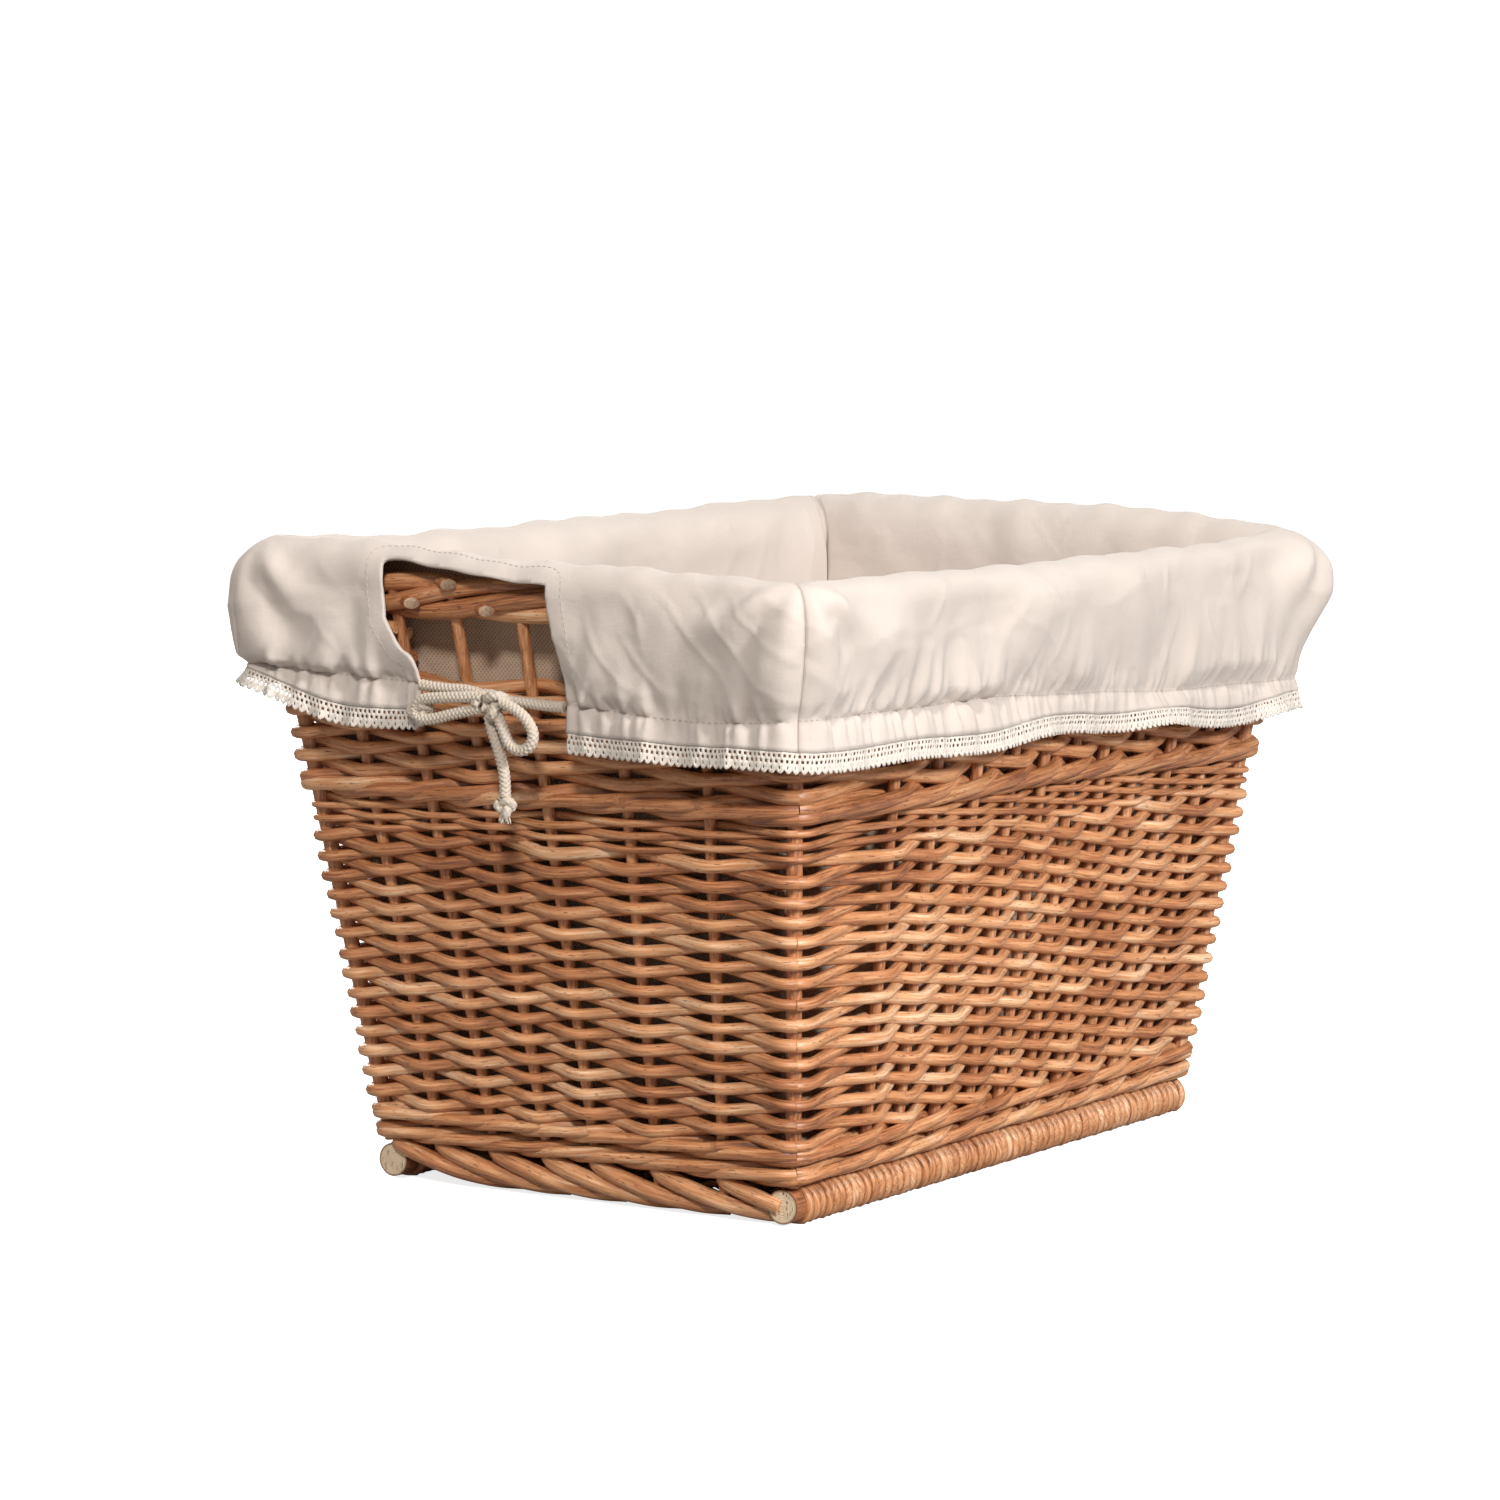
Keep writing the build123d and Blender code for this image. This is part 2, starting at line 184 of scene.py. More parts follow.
# Willow: a tone for each rod, long streaks along it, a few dark specks and knots, satin; pale wood where the
# attribute cut is 1. A CAD stick has no such attributes: its grain and tone come from its place.
def willow(name, s, stick=None, toneShift=0.0):
    f = Finish(name)
    place = f.objectPlace()
    if stick:
        grain, tone = f.stretched(place, stick), f.noise(f.stretched(place, (30, 30, 1)), 1.0, 0)
    else:
        tone = f.attribute("tone")
        grain = f.shifted(f.stretched(f.attribute("grain", "Vector"), s["rodGrain"]), tone * 40)
    streak = f.noise(grain, 1.0, 4)
    fleck = f.noise(f.stretched(grain, (5, 1.6, 1.6)), 1.0, 2)
    patch = f.noise(place, 14, 2)
    depth = ((tone - 0.42) * s["toneShare"] + (streak - 0.5) * s["streakShare"]
             + (patch - 0.5) * s["patchShare"] + s["middle"] + toneShift)
    colour = f.ramp(depth, [(0.05, s["dark"]), (0.3, s["brown"]), (0.5, s["mid"]), (0.7, s["buff"]),
                            (0.95, s["pale"])])
    mark = f.between(fleck, s["speckFrom"], s["speckFrom"] + 0.06)
    colour = f.mix(mark * 0.75, colour, s["speck"])
    colour = f.mix(f.attribute("cut"), colour, f.mix(f.between(streak, 0.35, 0.65), s["wood"], s["pith"]))
    normal = f.bump(streak + fleck * 0.4 - mark * 0.5, 0.35 * mm, 0.7)
    return f.surface(colour, 0.36 + streak * 0.2, normal, **s["coat"])


endSet = {"axisY": 108.8 * mm, "axisZ": 9.2 * mm, "endX": 196.4 * mm, "barkFrom": 6.8 * mm,
          "barkTo": 7.8 * mm, "ringWobble": 1.2 * mm, "ringTurn": 5200, "wood": (0.82, 0.66, 0.46),
          "ring": (0.52, 0.36, 0.21), "split": (0.07, 0.035, 0.015), "bark": (0.2, 0.09, 0.04)}


# Stick ends: beyond endX the sawn face shows, with growth rings round the stick's axis, dark splits and bark
# at the edge.
def stickEnds(name, s, e):
    f = Finish(name)
    place = f.objectPlace()
    x, y, z = (f.axis(place, i) for i in range(3))
    across, up = y.size() - e["axisY"], z - e["axisZ"]
    away = (across * across + up * up) ** 0.5
    wobble = f.noise(f.stretched(place, (40, 260, 260)), 1.0, 3)
    rings = ((away + wobble * e["ringWobble"]) * e["ringTurn"]).sine() * 0.5 + 0.5
    split = f.between(f.noise(f.stretched(place, (200, 900, 180)), 1.0, 3, 0.7), 0.6, 0.66)
    pale = f.mix(rings * 0.35 + wobble * 0.3, e["wood"], e["ring"])
    pale = f.mix(split, pale, e["split"])
    pale = f.mix(f.between(away, e["barkFrom"], e["barkTo"]), pale, e["bark"])
    bark = f.noise(f.stretched(place, (40, 600, 600)), 1.0, 4)
    skin = f.ramp(bark, [(0.2, s["dark"]), (0.5, s["brown"]), (0.8, s["mid"])])
    normal = f.bump(wobble - split * 1.5 + rings * 0.15, 0.7 * mm, 0.8)
    return f.surface(f.mix(x.size() > e["endX"], skin, pale), 0.6, normal)


clothSet = {"colour": (0.655, 0.572, 0.51), "shade": (0.585, 0.5, 0.44), "thread": 0.55 * mm, "dots": 0.0}
# The backing is painted shade: the same cotton made darker for the cloth's side against the wall, seen in
# shadow through the handle openings.
paintedShadeBackingSet = {"colour": (0.7, 0.54, 0.4), "shade": (0.36, 0.255, 0.175), "thread": 2.2 * mm, "dots": 0.5}


# Cloth: plain weave of crossing threads as bump, slubs in both directions, soft matt sheen; the backing, a
# darker khaki copy of the cotton that paints shade on the liner's side against the wall, also shows its weave
# as dots of the darker colour.
def cotton(name, s):
    f = Finish(name)
    uv = f.make("ShaderNodeUVMap", {"uv_map": "cloth"})
    u, v = f.axis(uv, 0), f.axis(uv, 1)
    turns = 2 * math.pi / s["thread"]
    weave = (u * turns).sine() * (v * turns).sine()
    slubU = f.noise(f.stretched(uv, (90, 1700, 1)), 1.0, 2)
    slubV = f.noise(f.stretched(uv, (1700, 90, 1)), 1.0, 2)
    cloud = f.noise(uv, 9, 3)
    dots = f.between(weave, 0.1, 0.9) * s["dots"]
    depth = (slubU + slubV) * 0.18 + cloud * 0.64 + dots
    colour = f.mix(f.between(depth, 0.35, 0.85), s["colour"], s["shade"])
    threads = f.bump(weave * 0.5 + (slubU + slubV) * 0.6, 0.16 * mm, 0.8)
    crumple = f.bump(f.noise(uv, 55, 4, 0.6), 1.6 * mm, 0.45, threads)
    return f.surface(colour, 0.85, crumple, **{"Sheen Weight": 0.15, "Sheen Roughness": 0.5,
                                               "Specular IOR Level": 0.25})


matt = {"Sheen Weight": 0.15, "Specular IOR Level": 0.2}


# Thread: fine twisted yarn, cream with faint fluff.
def yarn(name, colour, shade, scale):
    f = Finish(name)
    fluff = f.noise(f.objectPlace(), scale, 4, 0.65)
    tint = f.mix(f.between(fluff, 0.35, 0.7), colour, shade)
    return f.surface(tint, 0.9, f.bump(fluff, 0.4 * mm, 0.7), **matt)


# Braided cord: the attribute braid is 1 on a strand's crown and 0 in the grooves, which are painted darker as
# painted shade; patches of it are beige.
def braided(name, colour, paintedGrooveShade, beige):
    f = Finish(name)
    place = f.objectPlace()
    crown = f.attribute("braid")
    fluff = f.noise(place, 2600, 3, 0.6)
    dye = f.between(f.noise(place, 420, 1), 0.56, 0.62)
    tint = f.mix(dye * 0.55, colour, beige)
    # Painted shade: the grooves between the strands take the darker colour.
    tint = f.mix(f.between(crown, 0.1, 0.6, 1, 0), tint, paintedGrooveShade)
    return f.surface(tint, 0.9, f.bump(fluff, 0.3 * mm, 0.7), **matt)


rodFinish = willow("willowRods", willowSet)
waleFinish = willow("willowWale", willowSet, toneShift=-0.02)
stakeFinish = willow("willowStakes", willowSet, stick=(700, 700, 45), toneShift=-0.05)
stickFinish = willow("willowBaseSticks", willowSet, stick=(45, 700, 700), toneShift=-0.1)
skeinFinish = willow("willowSkein", willowSet, toneShift=0.04)
outerStickFinish = stickEnds("willowStickEnds", willowSet, endSet)
clothFinish = cotton("linerCotton", clothSet)
paintedShadeBackingFinish = cotton("linerBackingPaintedShade", paintedShadeBackingSet)
laceFinish = yarn("cottonLace", (0.74, 0.68, 0.61), (0.58, 0.51, 0.44), 1500)
seamFinish = yarn("sewingThread", (0.5, 0.43, 0.37), (0.4, 0.33, 0.28), 2500)
# The second colour is the painted shade in the braid's grooves.
cordFinish = braided("cottonCord", (0.58, 0.505, 0.42), (0.42, 0.34, 0.26), (0.62, 0.48, 0.34))
print("stage: materials")


# ---- mesh helpers ----
class Bundle:  # many closed shapes gathered into one mesh
    def __init__(self):
        self.points, self.faces, self.extras, self.count = [], [], {}, 0

    def add(self, points, faces, caps=(), **extras):
        self.points.append(points)
        for group in (faces, *caps):
            self.faces += (group + self.count).tolist()
        for key, value in extras.items():
            self.extras.setdefault(key, []).append(value)
        self.count += len(points)

    def finish(self, name, body, nodes, slot, material, solid=None, behind=None):
        mesh = bpy.data.meshes.new(name)
        mesh.from_pydata(np.concatenate(self.points).tolist(), [], self.faces)
        mesh.polygons.foreach_set("use_smooth", np.ones(len(mesh.polygons), bool))
        mesh.set_sharp_from_angle(angle=math.radians(62))
        for key, parts in self.extras.items():
            values = np.concatenate(parts).astype(np.float32)
            if key == "cloth":
                corner = np.zeros(len(mesh.loops), np.int32)
                mesh.loops.foreach_get("vertex_index", corner)
                mesh.uv_layers.new(name="cloth").data.foreach_set("uv", values[corner].ravel())
            elif values.ndim == 2:
                mesh.attributes.new(key, "FLOAT_VECTOR", "POINT").data.foreach_set("vector", values.ravel())
            else:
                mesh.attributes.new(key, "FLOAT", "POINT").data.foreach_set("value", values)
        mesh.materials.append(material)
        if behind:
            mesh.materials.append(behind)
        mesh.update()
        piece = placed(name, mesh)
        if solid:
            thick = piece.modifiers.new("thickness", "SOLIDIFY")
            thick.thickness, thick.offset, thick.use_even_offset = solid, 0, False
            thick.material_offset = 1 if behind else 0
        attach(piece, body)
        if nodes:
            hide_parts(*nodes)
        return piece


def unit(vectors):
    return vectors / np.maximum(np.linalg.norm(vectors, axis=-1, keepdims=True), 1e-12)


def travelOf(path):
    return np.concatenate([[0], np.cumsum(np.linalg.norm(np.diff(path, axis=0), axis=1))])


def pathAt(places, travel, path):
    return np.stack([np.interp(places, travel, path[:, i]) for i in range(path.shape[1])], -1)


# A line divided evenly: its length is shared out in equal steps.
def evenly(path, step):
    travel = travelOf(path)
    return pathAt(np.linspace(0, travel[-1], max(int(travel[-1] / step), 2) + 1), travel, path)


# Faces of a grid of rows and columns, closed round the columns or left open.
def gridFaces(rows, columns, closed=False):
    r = np.arange(rows - 1)[:, None]
    c = np.arange(columns if closed else columns - 1)[None, :]
    nextC = (c + 1) % columns
    first, second = r * columns + c, r * columns + nextC
    third, fourth = (r + 1) * columns + nextC, (r + 1) * columns + c
    return np.stack([first, second, third, fourth], -1).reshape(-1, 4)


# A rod: at each point of the path a ring, centre + across*cos*broad + lift*sin*tall, closed by its two ends.
# The values of a ring or of each of its points are written as attributes: grain is the travel and the place
# across, tone the rod's own tone, cut whether the wood is bare.
def tube(bundle, path, broad, tall=None, tone=0.5, sides=8, reference=(0, 0, 1), start=0.0, headings=None,
         **extras):
    count = len(path)

    def onRings(value):
        value = np.asarray(value, float)
        return np.broadcast_to(value if value.ndim == 2 else value.reshape(-1, 1), (count, sides))

    tangent = unit(np.gradient(path, axis=0))
    if headings:
        tangent[0], tangent[-1] = headings
    across = unit(np.cross(tangent, reference))
    lift = np.cross(across, tangent)
    angle = np.arange(sides) * 2 * math.pi / sides
    tall = onRings(broad if tall is None else tall) * np.sin(angle)
    broad = onRings(broad) * np.cos(angle)
    points = path[:, None] + across[:, None] * broad[..., None] + lift[:, None] * tall[..., None]
    grain = np.stack([onRings(travelOf(path) + start), broad, tall], -1)
    ring = np.arange(sides)[None]
    extras = {"cut": np.zeros(count * sides), **{key: np.ravel(value) for key, value in extras.items()}}
    bundle.add(points.reshape(-1, 3), gridFaces(count, sides, True)[:, ::-1],
               (ring, ring[:, ::-1] + (count - 1) * sides), grain=grain.reshape(-1, 3),
               tone=onRings(tone).ravel(), **extras)


# A smooth line through the given points (Catmull-Rom): each stretch is a cubic, its slopes from its
# neighbours.
def through(points, count):
    points = np.asarray(points, float)
    padded = np.concatenate([[2 * points[0] - points[1]], points, [2 * points[-1] - points[-2]]])
    t = np.linspace(0, len(points) - 1, count)
    i = np.minimum(t.astype(int), len(points) - 2)
    f = (t - i)[:, None]
    a, b, c, d = (padded[i + k] for k in range(4))
    return 0.5 * (2 * b + (c - a) * f + (2 * a - 5 * b + 4 * c - d) * f ** 2
                  + (3 * b - a - 3 * c + d) * f ** 3)


# Soft noise from -1 to 1: random values on a lattice, blended smoothly; it repeats after `around` cells.
def softNoise(u, v, around, seed):
    table = np.random.default_rng(seed).uniform(-1, 1, (around, 64))
    iu, iv = np.floor(u).astype(int), np.floor(v).astype(int)
    fu, fv = u - iu, v - iv
    fu, fv = fu * fu * (3 - 2 * fu), fv * fv * (3 - 2 * fv)
    def at(a, b): return table[(iu + a) % around, (iv + b) % 64]
    return (at(0, 0) * (1 - fu) + at(1, 0) * fu) * (1 - fv) + (at(0, 1) * (1 - fu) + at(1, 1) * fu) * fv


# ---- the drawcord, made first; its routes are in millimetres ----
cordSet = {"diameter": 5.2 * mm, "thinDiameter": 5.0 * mm, "strands": 8, "braidPitch": 8.5 * mm,
           "relief": 0.19, "step": 0.35 * mm, "pathStep": 0.7 * mm}
cordRoutes = {
    "left_cord_lead_front": ((-258.2, -27.9, 238.6), (-258.2, -14, 238.9), (-258.2, 3, 240)),
    "left_cord_lead_back": ((-258.2, 51, 244.6), (-258.2, 38, 243.2), (-258.2, 24, 243.9), (-258.2, 13, 241)),
    "left_bow_loop_front": ((-264, 3, 240), (-264, -4.5, 237.4), (-264, -11.5, 232.8), (-264, -15.6, 226.4),
                            (-264, -13.8, 220.2), (-264, -7.8, 217.6), (-264, -2, 220.2),
                            (-263.2, 1.6, 226.6), (-261.8, 6.4, 234.2)),
    "left_bow_loop_back": ((-264, 13, 241.4), (-264.5, 22, 241), (-265, 33, 240.2), (-264.8, 41, 239.4),
                           (-264.4, 46.8, 238.4), (-264, 50, 235.4), (-264, 50, 231.6), (-264, 46.4, 229.2),
                           (-264, 39, 230), (-264, 27, 233.4), (-263.4, 14.5, 236)),
    "left_cord_tail": ((-259.5, 12.6, 236), (-259.5, 11.6, 229), (-259.5, 8.2, 221), (-259.5, 5, 212.6),
                       (-259.5, 3, 204), (-259.5, 3, 196.2)),
    "right_cord_crossing": ((258.2, -50.8, 243), (258.2, -26, 238.8), (258.2, 2, 237.4),
                            (258.2, 27.8, 238.6)),
}


# The line of a route: the points of a smooth spline with the route as its control points.
def splineLine(route):
    curve = bpy.data.curves.new("route", "CURVE")
    curve.dimensions, curve.resolution_u = "3D", 24
    spline = curve.splines.new("NURBS")
    spline.points.add(len(route) - 1)
    spline.points.foreach_set("co", np.c_[np.array(route) * mm, np.ones(len(route))].ravel())
    spline.order_u = 3
    spline.use_endpoint_u = True
    carrier = placed("route", curve)
    line = bpy.data.meshes.new_from_object(carrier)
    path = np.zeros(len(line.vertices) * 3)
    line.vertices.foreach_get("co", path)
    bpy.data.objects.remove(carrier)
    bpy.data.curves.remove(curve)
    bpy.data.meshes.remove(line)
    return path.reshape(-1, 3)


# Braid: two families of threads wind opposite ways; where their cell numbers add to even the first is on
# top. Each thread's crown is a half circle, high where it is on top: the radius is r*(1 - 1.6*relief +
# 2*relief*crown).
def braidCord(bundle, path, diameter, s, sides=28):
    path = evenly(path, s["step"])
    travel = np.arange(len(path)) * s["step"]
    around = np.arange(sides)[None] / sides * s["strands"] / 2
    ahead = travel[:, None] / s["braidPitch"] * s["strands"] / 2
    first, second = around + ahead, around - ahead
    def ridge(x): return np.sqrt(np.maximum(1 - (2 * (x % 1) - 1) ** 2, 0))
    onTop = (np.floor(first) + np.floor(second)) % 2 < 1
    crown = np.where(onTop, ridge(first) * ridge(second) ** 0.4, ridge(second) * ridge(first) ** 0.4)
    radius = diameter / 2 * (1 - s["relief"] * 1.6 + s["relief"] * 2 * crown)
    tube(bundle, path, radius, sides=sides, reference=(1, 0, 0), braid=crown)


cordPieces = {}
for name, route in cordRoutes.items():
    line = evenly(splineLine(route), cordSet["pathStep"])
    thick = cordSet["thinDiameter"] if name == "left_cord_lead_front" else cordSet["diameter"]
    bundle = Bundle()
    braidCord(bundle, line, thick, cordSet)
    piece = bundle.finish("braided_" + name, "liner", [name], "cotton_cord", cordFinish)
    length = float(np.linalg.norm(np.diff(line, axis=0), axis=1).sum())
    cordPieces[name] = (piece, line, length, thick)

# Each knot: centre, size and cord in millimetres, where its line starts, and how many points go round the
# cord.
knotSet = {"bow_knot": ((-261.5, 9.5, 238.5), (3.0, 2.6, 1.9), 4.9, 0.4, 28, ["left_bow_knot"]),
           "loop_knot": ((-262.6, 48.0, 232.6), (1.5, 1.7, 1.5), 4.4, 2.0, 24, []),
           "tail_knot": ((-259.5, 3.0, 191.6), (1.15, 1.25, 1.35), 4.2, 1.1, 24, ["left_tail_knot"])}
tuftSet = {"threads": 34, "top": 189.5, "low": 183.6, "spread": 1.2, "splay": (1.5, 2.0), "thick": 0.28 * mm,
           "points": 7, "sides": 5}


# A knot: the trefoil line (-sin 3t, sin t + 2 sin 2t, cos t - 2 cos 2t), stretched to the knot's size.
def knotLine(centre, size, start):
    t = (np.linspace(0, 2 * math.pi, 160) + start)[:-3]
    return (np.array(centre) + np.stack([-np.sin(3 * t) * size[0], (np.sin(t) + 2 * np.sin(2 * t)) * size[1],
                                         (np.cos(t) - 2 * np.cos(2 * t)) * size[2]], -1)) * mm


# The frayed end: thin threads from just under the tail's knot, splayed and bent a little.
def tuft(bundle, s):
    rng = np.random.default_rng(5)
    x, y, _ = knotSet["tail_knot"][0]
    for i in range(s["threads"]):
        around, far = rng.uniform(0, 2 * math.pi), rng.uniform(0.2, 1)
        outX, outY = math.cos(around), math.sin(around)
        top = np.array([x + far * s["spread"] * outX, y + far * s["spread"] * outY, s["top"]])
        low = top + np.array([outX * far * s["splay"][0], outY * far * s["splay"][1],
                              s["low"] - s["top"] + rng.uniform(0, 2)])
        middle = (top + low) / 2 + rng.uniform(-0.4, 0.4, 3)
        tube(bundle, through(np.array([top, middle, low]) * mm, s["points"]), s["thick"], sides=s["sides"],
             reference=(1, 0, 0), braid=np.full((s["points"], s["sides"]), 0.8))


for name, (centre, size, thick, start, sides, nodes) in knotSet.items():
    bundle = Bundle()
    braidCord(bundle, knotLine(centre, size, start), thick * mm, cordSet, sides)
    if name == "tail_knot":
        tuft(bundle, tuftSet)
    bundle.finish(name, "liner", nodes, "cotton_cord", cordFinish)
cordSays = {
    "left_cord_lead_front": ("knot", "taut", ["bow_knot"]), "left_cord_lead_back": ("knot", "loose", []),
    "left_bow_loop_front": ("knot", "loose", []), "left_bow_loop_back": ("knot", "loose", ["loop_knot"]),
    "left_cord_tail": ("knot", "hanging", ["tail_knot"]), "right_cord_crossing": ("object", "taut", []),
}
for name, (farEnd, lay, onIt) in cordSays.items():
    piece, line, length, thick = cordPieces[name]
print("stage: cords")


# ---- where the walls and the stakes stand ----
wallSet = {"halfLength": 197 * mm, "halfWidth": 118 * mm, "lengthFlare": 0.2, "widthFlare": 0.111,
           "stakeInset": 6.5 * mm, "cornerInset": 8 * mm, "cornerTurn": 5 * mm, "stakeFoot": 9 * mm,
           "stakeTop": 290 * mm, "step": 3.4 * mm}
stakeShares = {
    "long": ((-0.69, -0.54, -0.36, -0.19, -0.03, 0.12, 0.28, 0.43, 0.59, 0.75),
             (-0.60, -0.42, -0.25, -0.10, 0.03, 0.16, 0.29, 0.45, 0.62, 0.81)),
    "end": ((-0.68, -0.36, -0.06, 0.18, 0.45, 0.73), (-0.66, -0.32, 0.03, 0.29, 0.52, 0.76)),
}
# Each side's outward direction and its forward one, as seen from outside.
sideFrames = {"front": ((0, -1), (1, 0)), "right": ((1, 0), (0, 1)), "back": ((0, 1), (-1, 0)),
              "left": ((-1, 0), (0, -1))}
firstUpright = {"front": 0, "right": 11, "back": 18, "left": 29}
uprightCount = 36
allSides, longSides, endSides = ("front", "right", "back", "left"), ("front", "back"), ("left", "right")


def wallHalves(side, height):
    s = wallSet
    long, short = s["halfLength"] + s["lengthFlare"] * height, s["halfWidth"] + s["widthFlare"] * height
    return (long, short) if side in longSides else (short, long)


# A side of a rounded rectangle: straight along, then round each corner as far as its middle; the point stands
# `reach` outside the outline.
def onSide(side, along, reach, height, halves, radius):
    outward, forward = (np.array(v, float) for v in sideFrames[side])
    along, reach, height, halfAlong, halfOut, radius = np.broadcast_arrays(along, reach, height, *halves,
                                                                           radius)
    run = halfAlong - radius
    turn = np.sign(along) * np.clip((np.abs(along) - run) / radius, 0, math.pi / 4)
    ahead = np.clip(along, -run, run) + (radius + reach) * np.sin(turn)
    out = halfOut - radius + (radius + reach) * np.cos(turn)
    return np.concatenate([out[..., None] * outward + ahead[..., None] * forward, height[..., None]], -1)


def sideEnd(halfAlong, radius):
    return halfAlong - radius + radius * math.pi / 4


def uprightsAt(side, height):
    s = wallSet
    footShare, rimShare = (np.array(v) for v in stakeShares["long" if side in longSides else "end"])
    foot = footShare * (wallHalves(side, s["stakeFoot"])[0] - s["cornerInset"])
    rim = rimShare * (wallHalves(side, s["stakeTop"])[0] - s["cornerInset"])
    along = foot + (rim - foot) * (height - s["stakeFoot"]) / (s["stakeTop"] - s["stakeFoot"])
    if side != "front":
        along = -along[::-1]
    end = sideEnd(wallHalves(side, height)[0] - s["stakeInset"], s["cornerTurn"])
    return np.concatenate([[-end], along, [end]])


# The headings half way round the corners, where a side's rods meet the next side's.
def cornerHeadings(side):
    outward, forward = (np.array([*v, 0.0]) for v in sideFrames[side])
    return unit(forward + outward), unit(forward - outward)


# How the handmade rows lie: slow waves round the basket that change with height, and a dip at the corner of
# front and right; nothing at the foot.
def settle(upright, height):
    round_ = upright * 2 * math.pi / uprightCount
    share = np.clip(height / 0.2, 0, 1)
    return share * (0.9 * np.sin(2 * round_ + 0.8) + 0.6 * np.sin(5 * round_ + 11 * height / 0.1)
                    - 2.2 * np.exp(-((upright - 10.5) / 3.2) ** 2)) * mm


# One row on one side: where it is along the wall, and its place in the order of uprights.
def rowPlaces(side, height, low=None, high=None):
    uprights = uprightsAt(side, height)
    low = uprights[0] if low is None else low
    high = uprights[-1] if high is None else high
    turn = np.arange(0.6, 8, 1.2) * mm  # closer points where the rod goes round a corner
    along = np.linspace(low, high, int((high - low) / wallSet["step"]) + 2)
    middle = along[(along > low + 9 * mm) & (along < high - 9 * mm)]
    along = np.concatenate([[low], low + turn, middle, high - turn[::-1], [high]])
    return along, np.interp(along, uprights, np.arange(len(uprights))) + firstUpright[side]


# The rods of a row: new rods start behind a stake; each has a tone and tapers from butt to tip.
def rodRuns(parity, rng):
    cuts = np.sort(rng.choice(np.arange(1 - parity, uprightCount, 2), 3, replace=False)) + 0.0
    return cuts, rng.uniform(0, 1, 3)


def rodValues(upright, cuts, tones):
    index = np.searchsorted(cuts, upright) % len(cuts)
    start = cuts[index - 1]
    length = (cuts[index] - start) % uprightCount
    share = ((upright - start) % uprightCount) / np.maximum(length, 1)
    return tones[index], 1.08 - 0.16 * share


# A rod's path: the wall leans with the rod's own height, and its length is that of the row's mean height.
def wallPath(side, along, reach, height, mean):
    inset = wallSet["stakeInset"]
    halves = wallHalves(side, mean)[0] - inset, wallHalves(side, height)[1] - inset
    return onSide(side, along, reach, height, halves, wallSet["cornerTurn"])


# Plain weave: the row swings outside one upright and inside the next, as a cosine with slightly pointed
# crests, and drops a little where it is outside.
def randedRow(bundles, sides, height, s, row, seed, limits=None):
    rng = np.random.default_rng(seed * 1000 + row)
    cuts, tones = rodRuns(row % 2, rng)
    phase = rng.uniform(0, 6, 3)
    diameter = s["diameter"] * (1 + rng.uniform(-0.06, 0.06))
    for side in sides:
        spans = limits(side, height) if limits else [(None, None)]
        for low, high in spans:
            along, upright = rowPlaces(side, height, low, high)
            beat = math.pi * (upright + row)
            swing = (np.cos(beat) + 0.1 * np.cos(3 * beat)) / 1.1
            tone, taper = rodValues(upright, cuts, tones)
            wander = (np.sin(upright * 0.9 + phase[0]) + np.sin(upright * 2.3 + phase[1])) * 0.18 * mm
            z = height + settle(upright, height) + wander - s["dip"] * swing
            reach = s["swing"] * swing + 0.3 * mm * np.sin(upright * 1.7 + phase[2])
            radius = diameter / 2 * taper * (1 + 0.03 * np.sin(upright * 3.1 + phase[1]))
            tube(bundles[side], wallPath(side, along, reach, z, height), radius, None, tone, s["sides"],
                 start=rng.uniform(0, 5), headings=None if limits else cornerHeadings(side))


# Waling: three rods, each outside two uprights and inside the third; each stroke starts low and ends high, so
# the height is a smoothed sawtooth with the same turn.
def waledRound(bundles, sides, height, s, shift, seed):
    for strand in range(3):
        rng = np.random.default_rng(seed * 1000 + strand)
        cuts, tones = np.array([9.0, 21.0, 33.0]) + strand, rng.uniform(0, 1, 3)
        phase = rng.uniform(0, 6, 2)
        for side in sides:
            along, upright = rowPlaces(side, height)
            turn = 2 * math.pi * (upright - strand - shift) / 3
            behind = ((1 + np.cos(turn)) / 2) ** 1.6
            reach = s["front"] - (s["front"] + s["behind"]) * behind
            rise = -(np.sin(turn) + 0.35 * np.sin(2 * turn)) / 1.12
            wander = 0.25 * mm * np.sin(upright * 1.3 + phase[0])
            z = height + settle(upright, height) + s["lift"] * rise + wander
            tone, taper = rodValues(upright, cuts, tones)
            radius = s["diameter"] / 2 * taper
            tube(bundles[side], wallPath(side, along, reach, z, height), radius, None, tone, s["sides"],
                 start=rng.uniform(0, 5), headings=cornerHeadings(side))


def bands(sides):
    return {side: Bundle() for side in sides}


upsettSet = {"diameter": 5.8 * mm, "front": 5.2 * mm, "behind": 4.6 * mm, "lift": 2.55 * mm, "sides": 8}
sidingSet = {"diameter": 5.7 * mm, "swing": 4.4 * mm, "dip": 1.9 * mm, "sides": 8, "rows": 28, "fineRows": 5,
             "finePitch": 3.0 * mm}
fineSet = {"diameter": 3.5 * mm, "swing": 3.9 * mm, "dip": 0.7 * mm, "sides": 8}
waleSet = {"diameter": 7.0 * mm, "front": 6.1 * mm, "behind": 5.2 * mm, "lift": 3.4 * mm, "sides": 10}
overWaleSet = {"diameter": 6.5 * mm, "swing": 5.0 * mm, "dip": 1.3 * mm, "sides": 10}
upperSet = {"diameter": 6.0 * mm, "swing": 4.9 * mm, "dip": 1.3 * mm, "sides": 8, "pitch": 5.25 * mm}

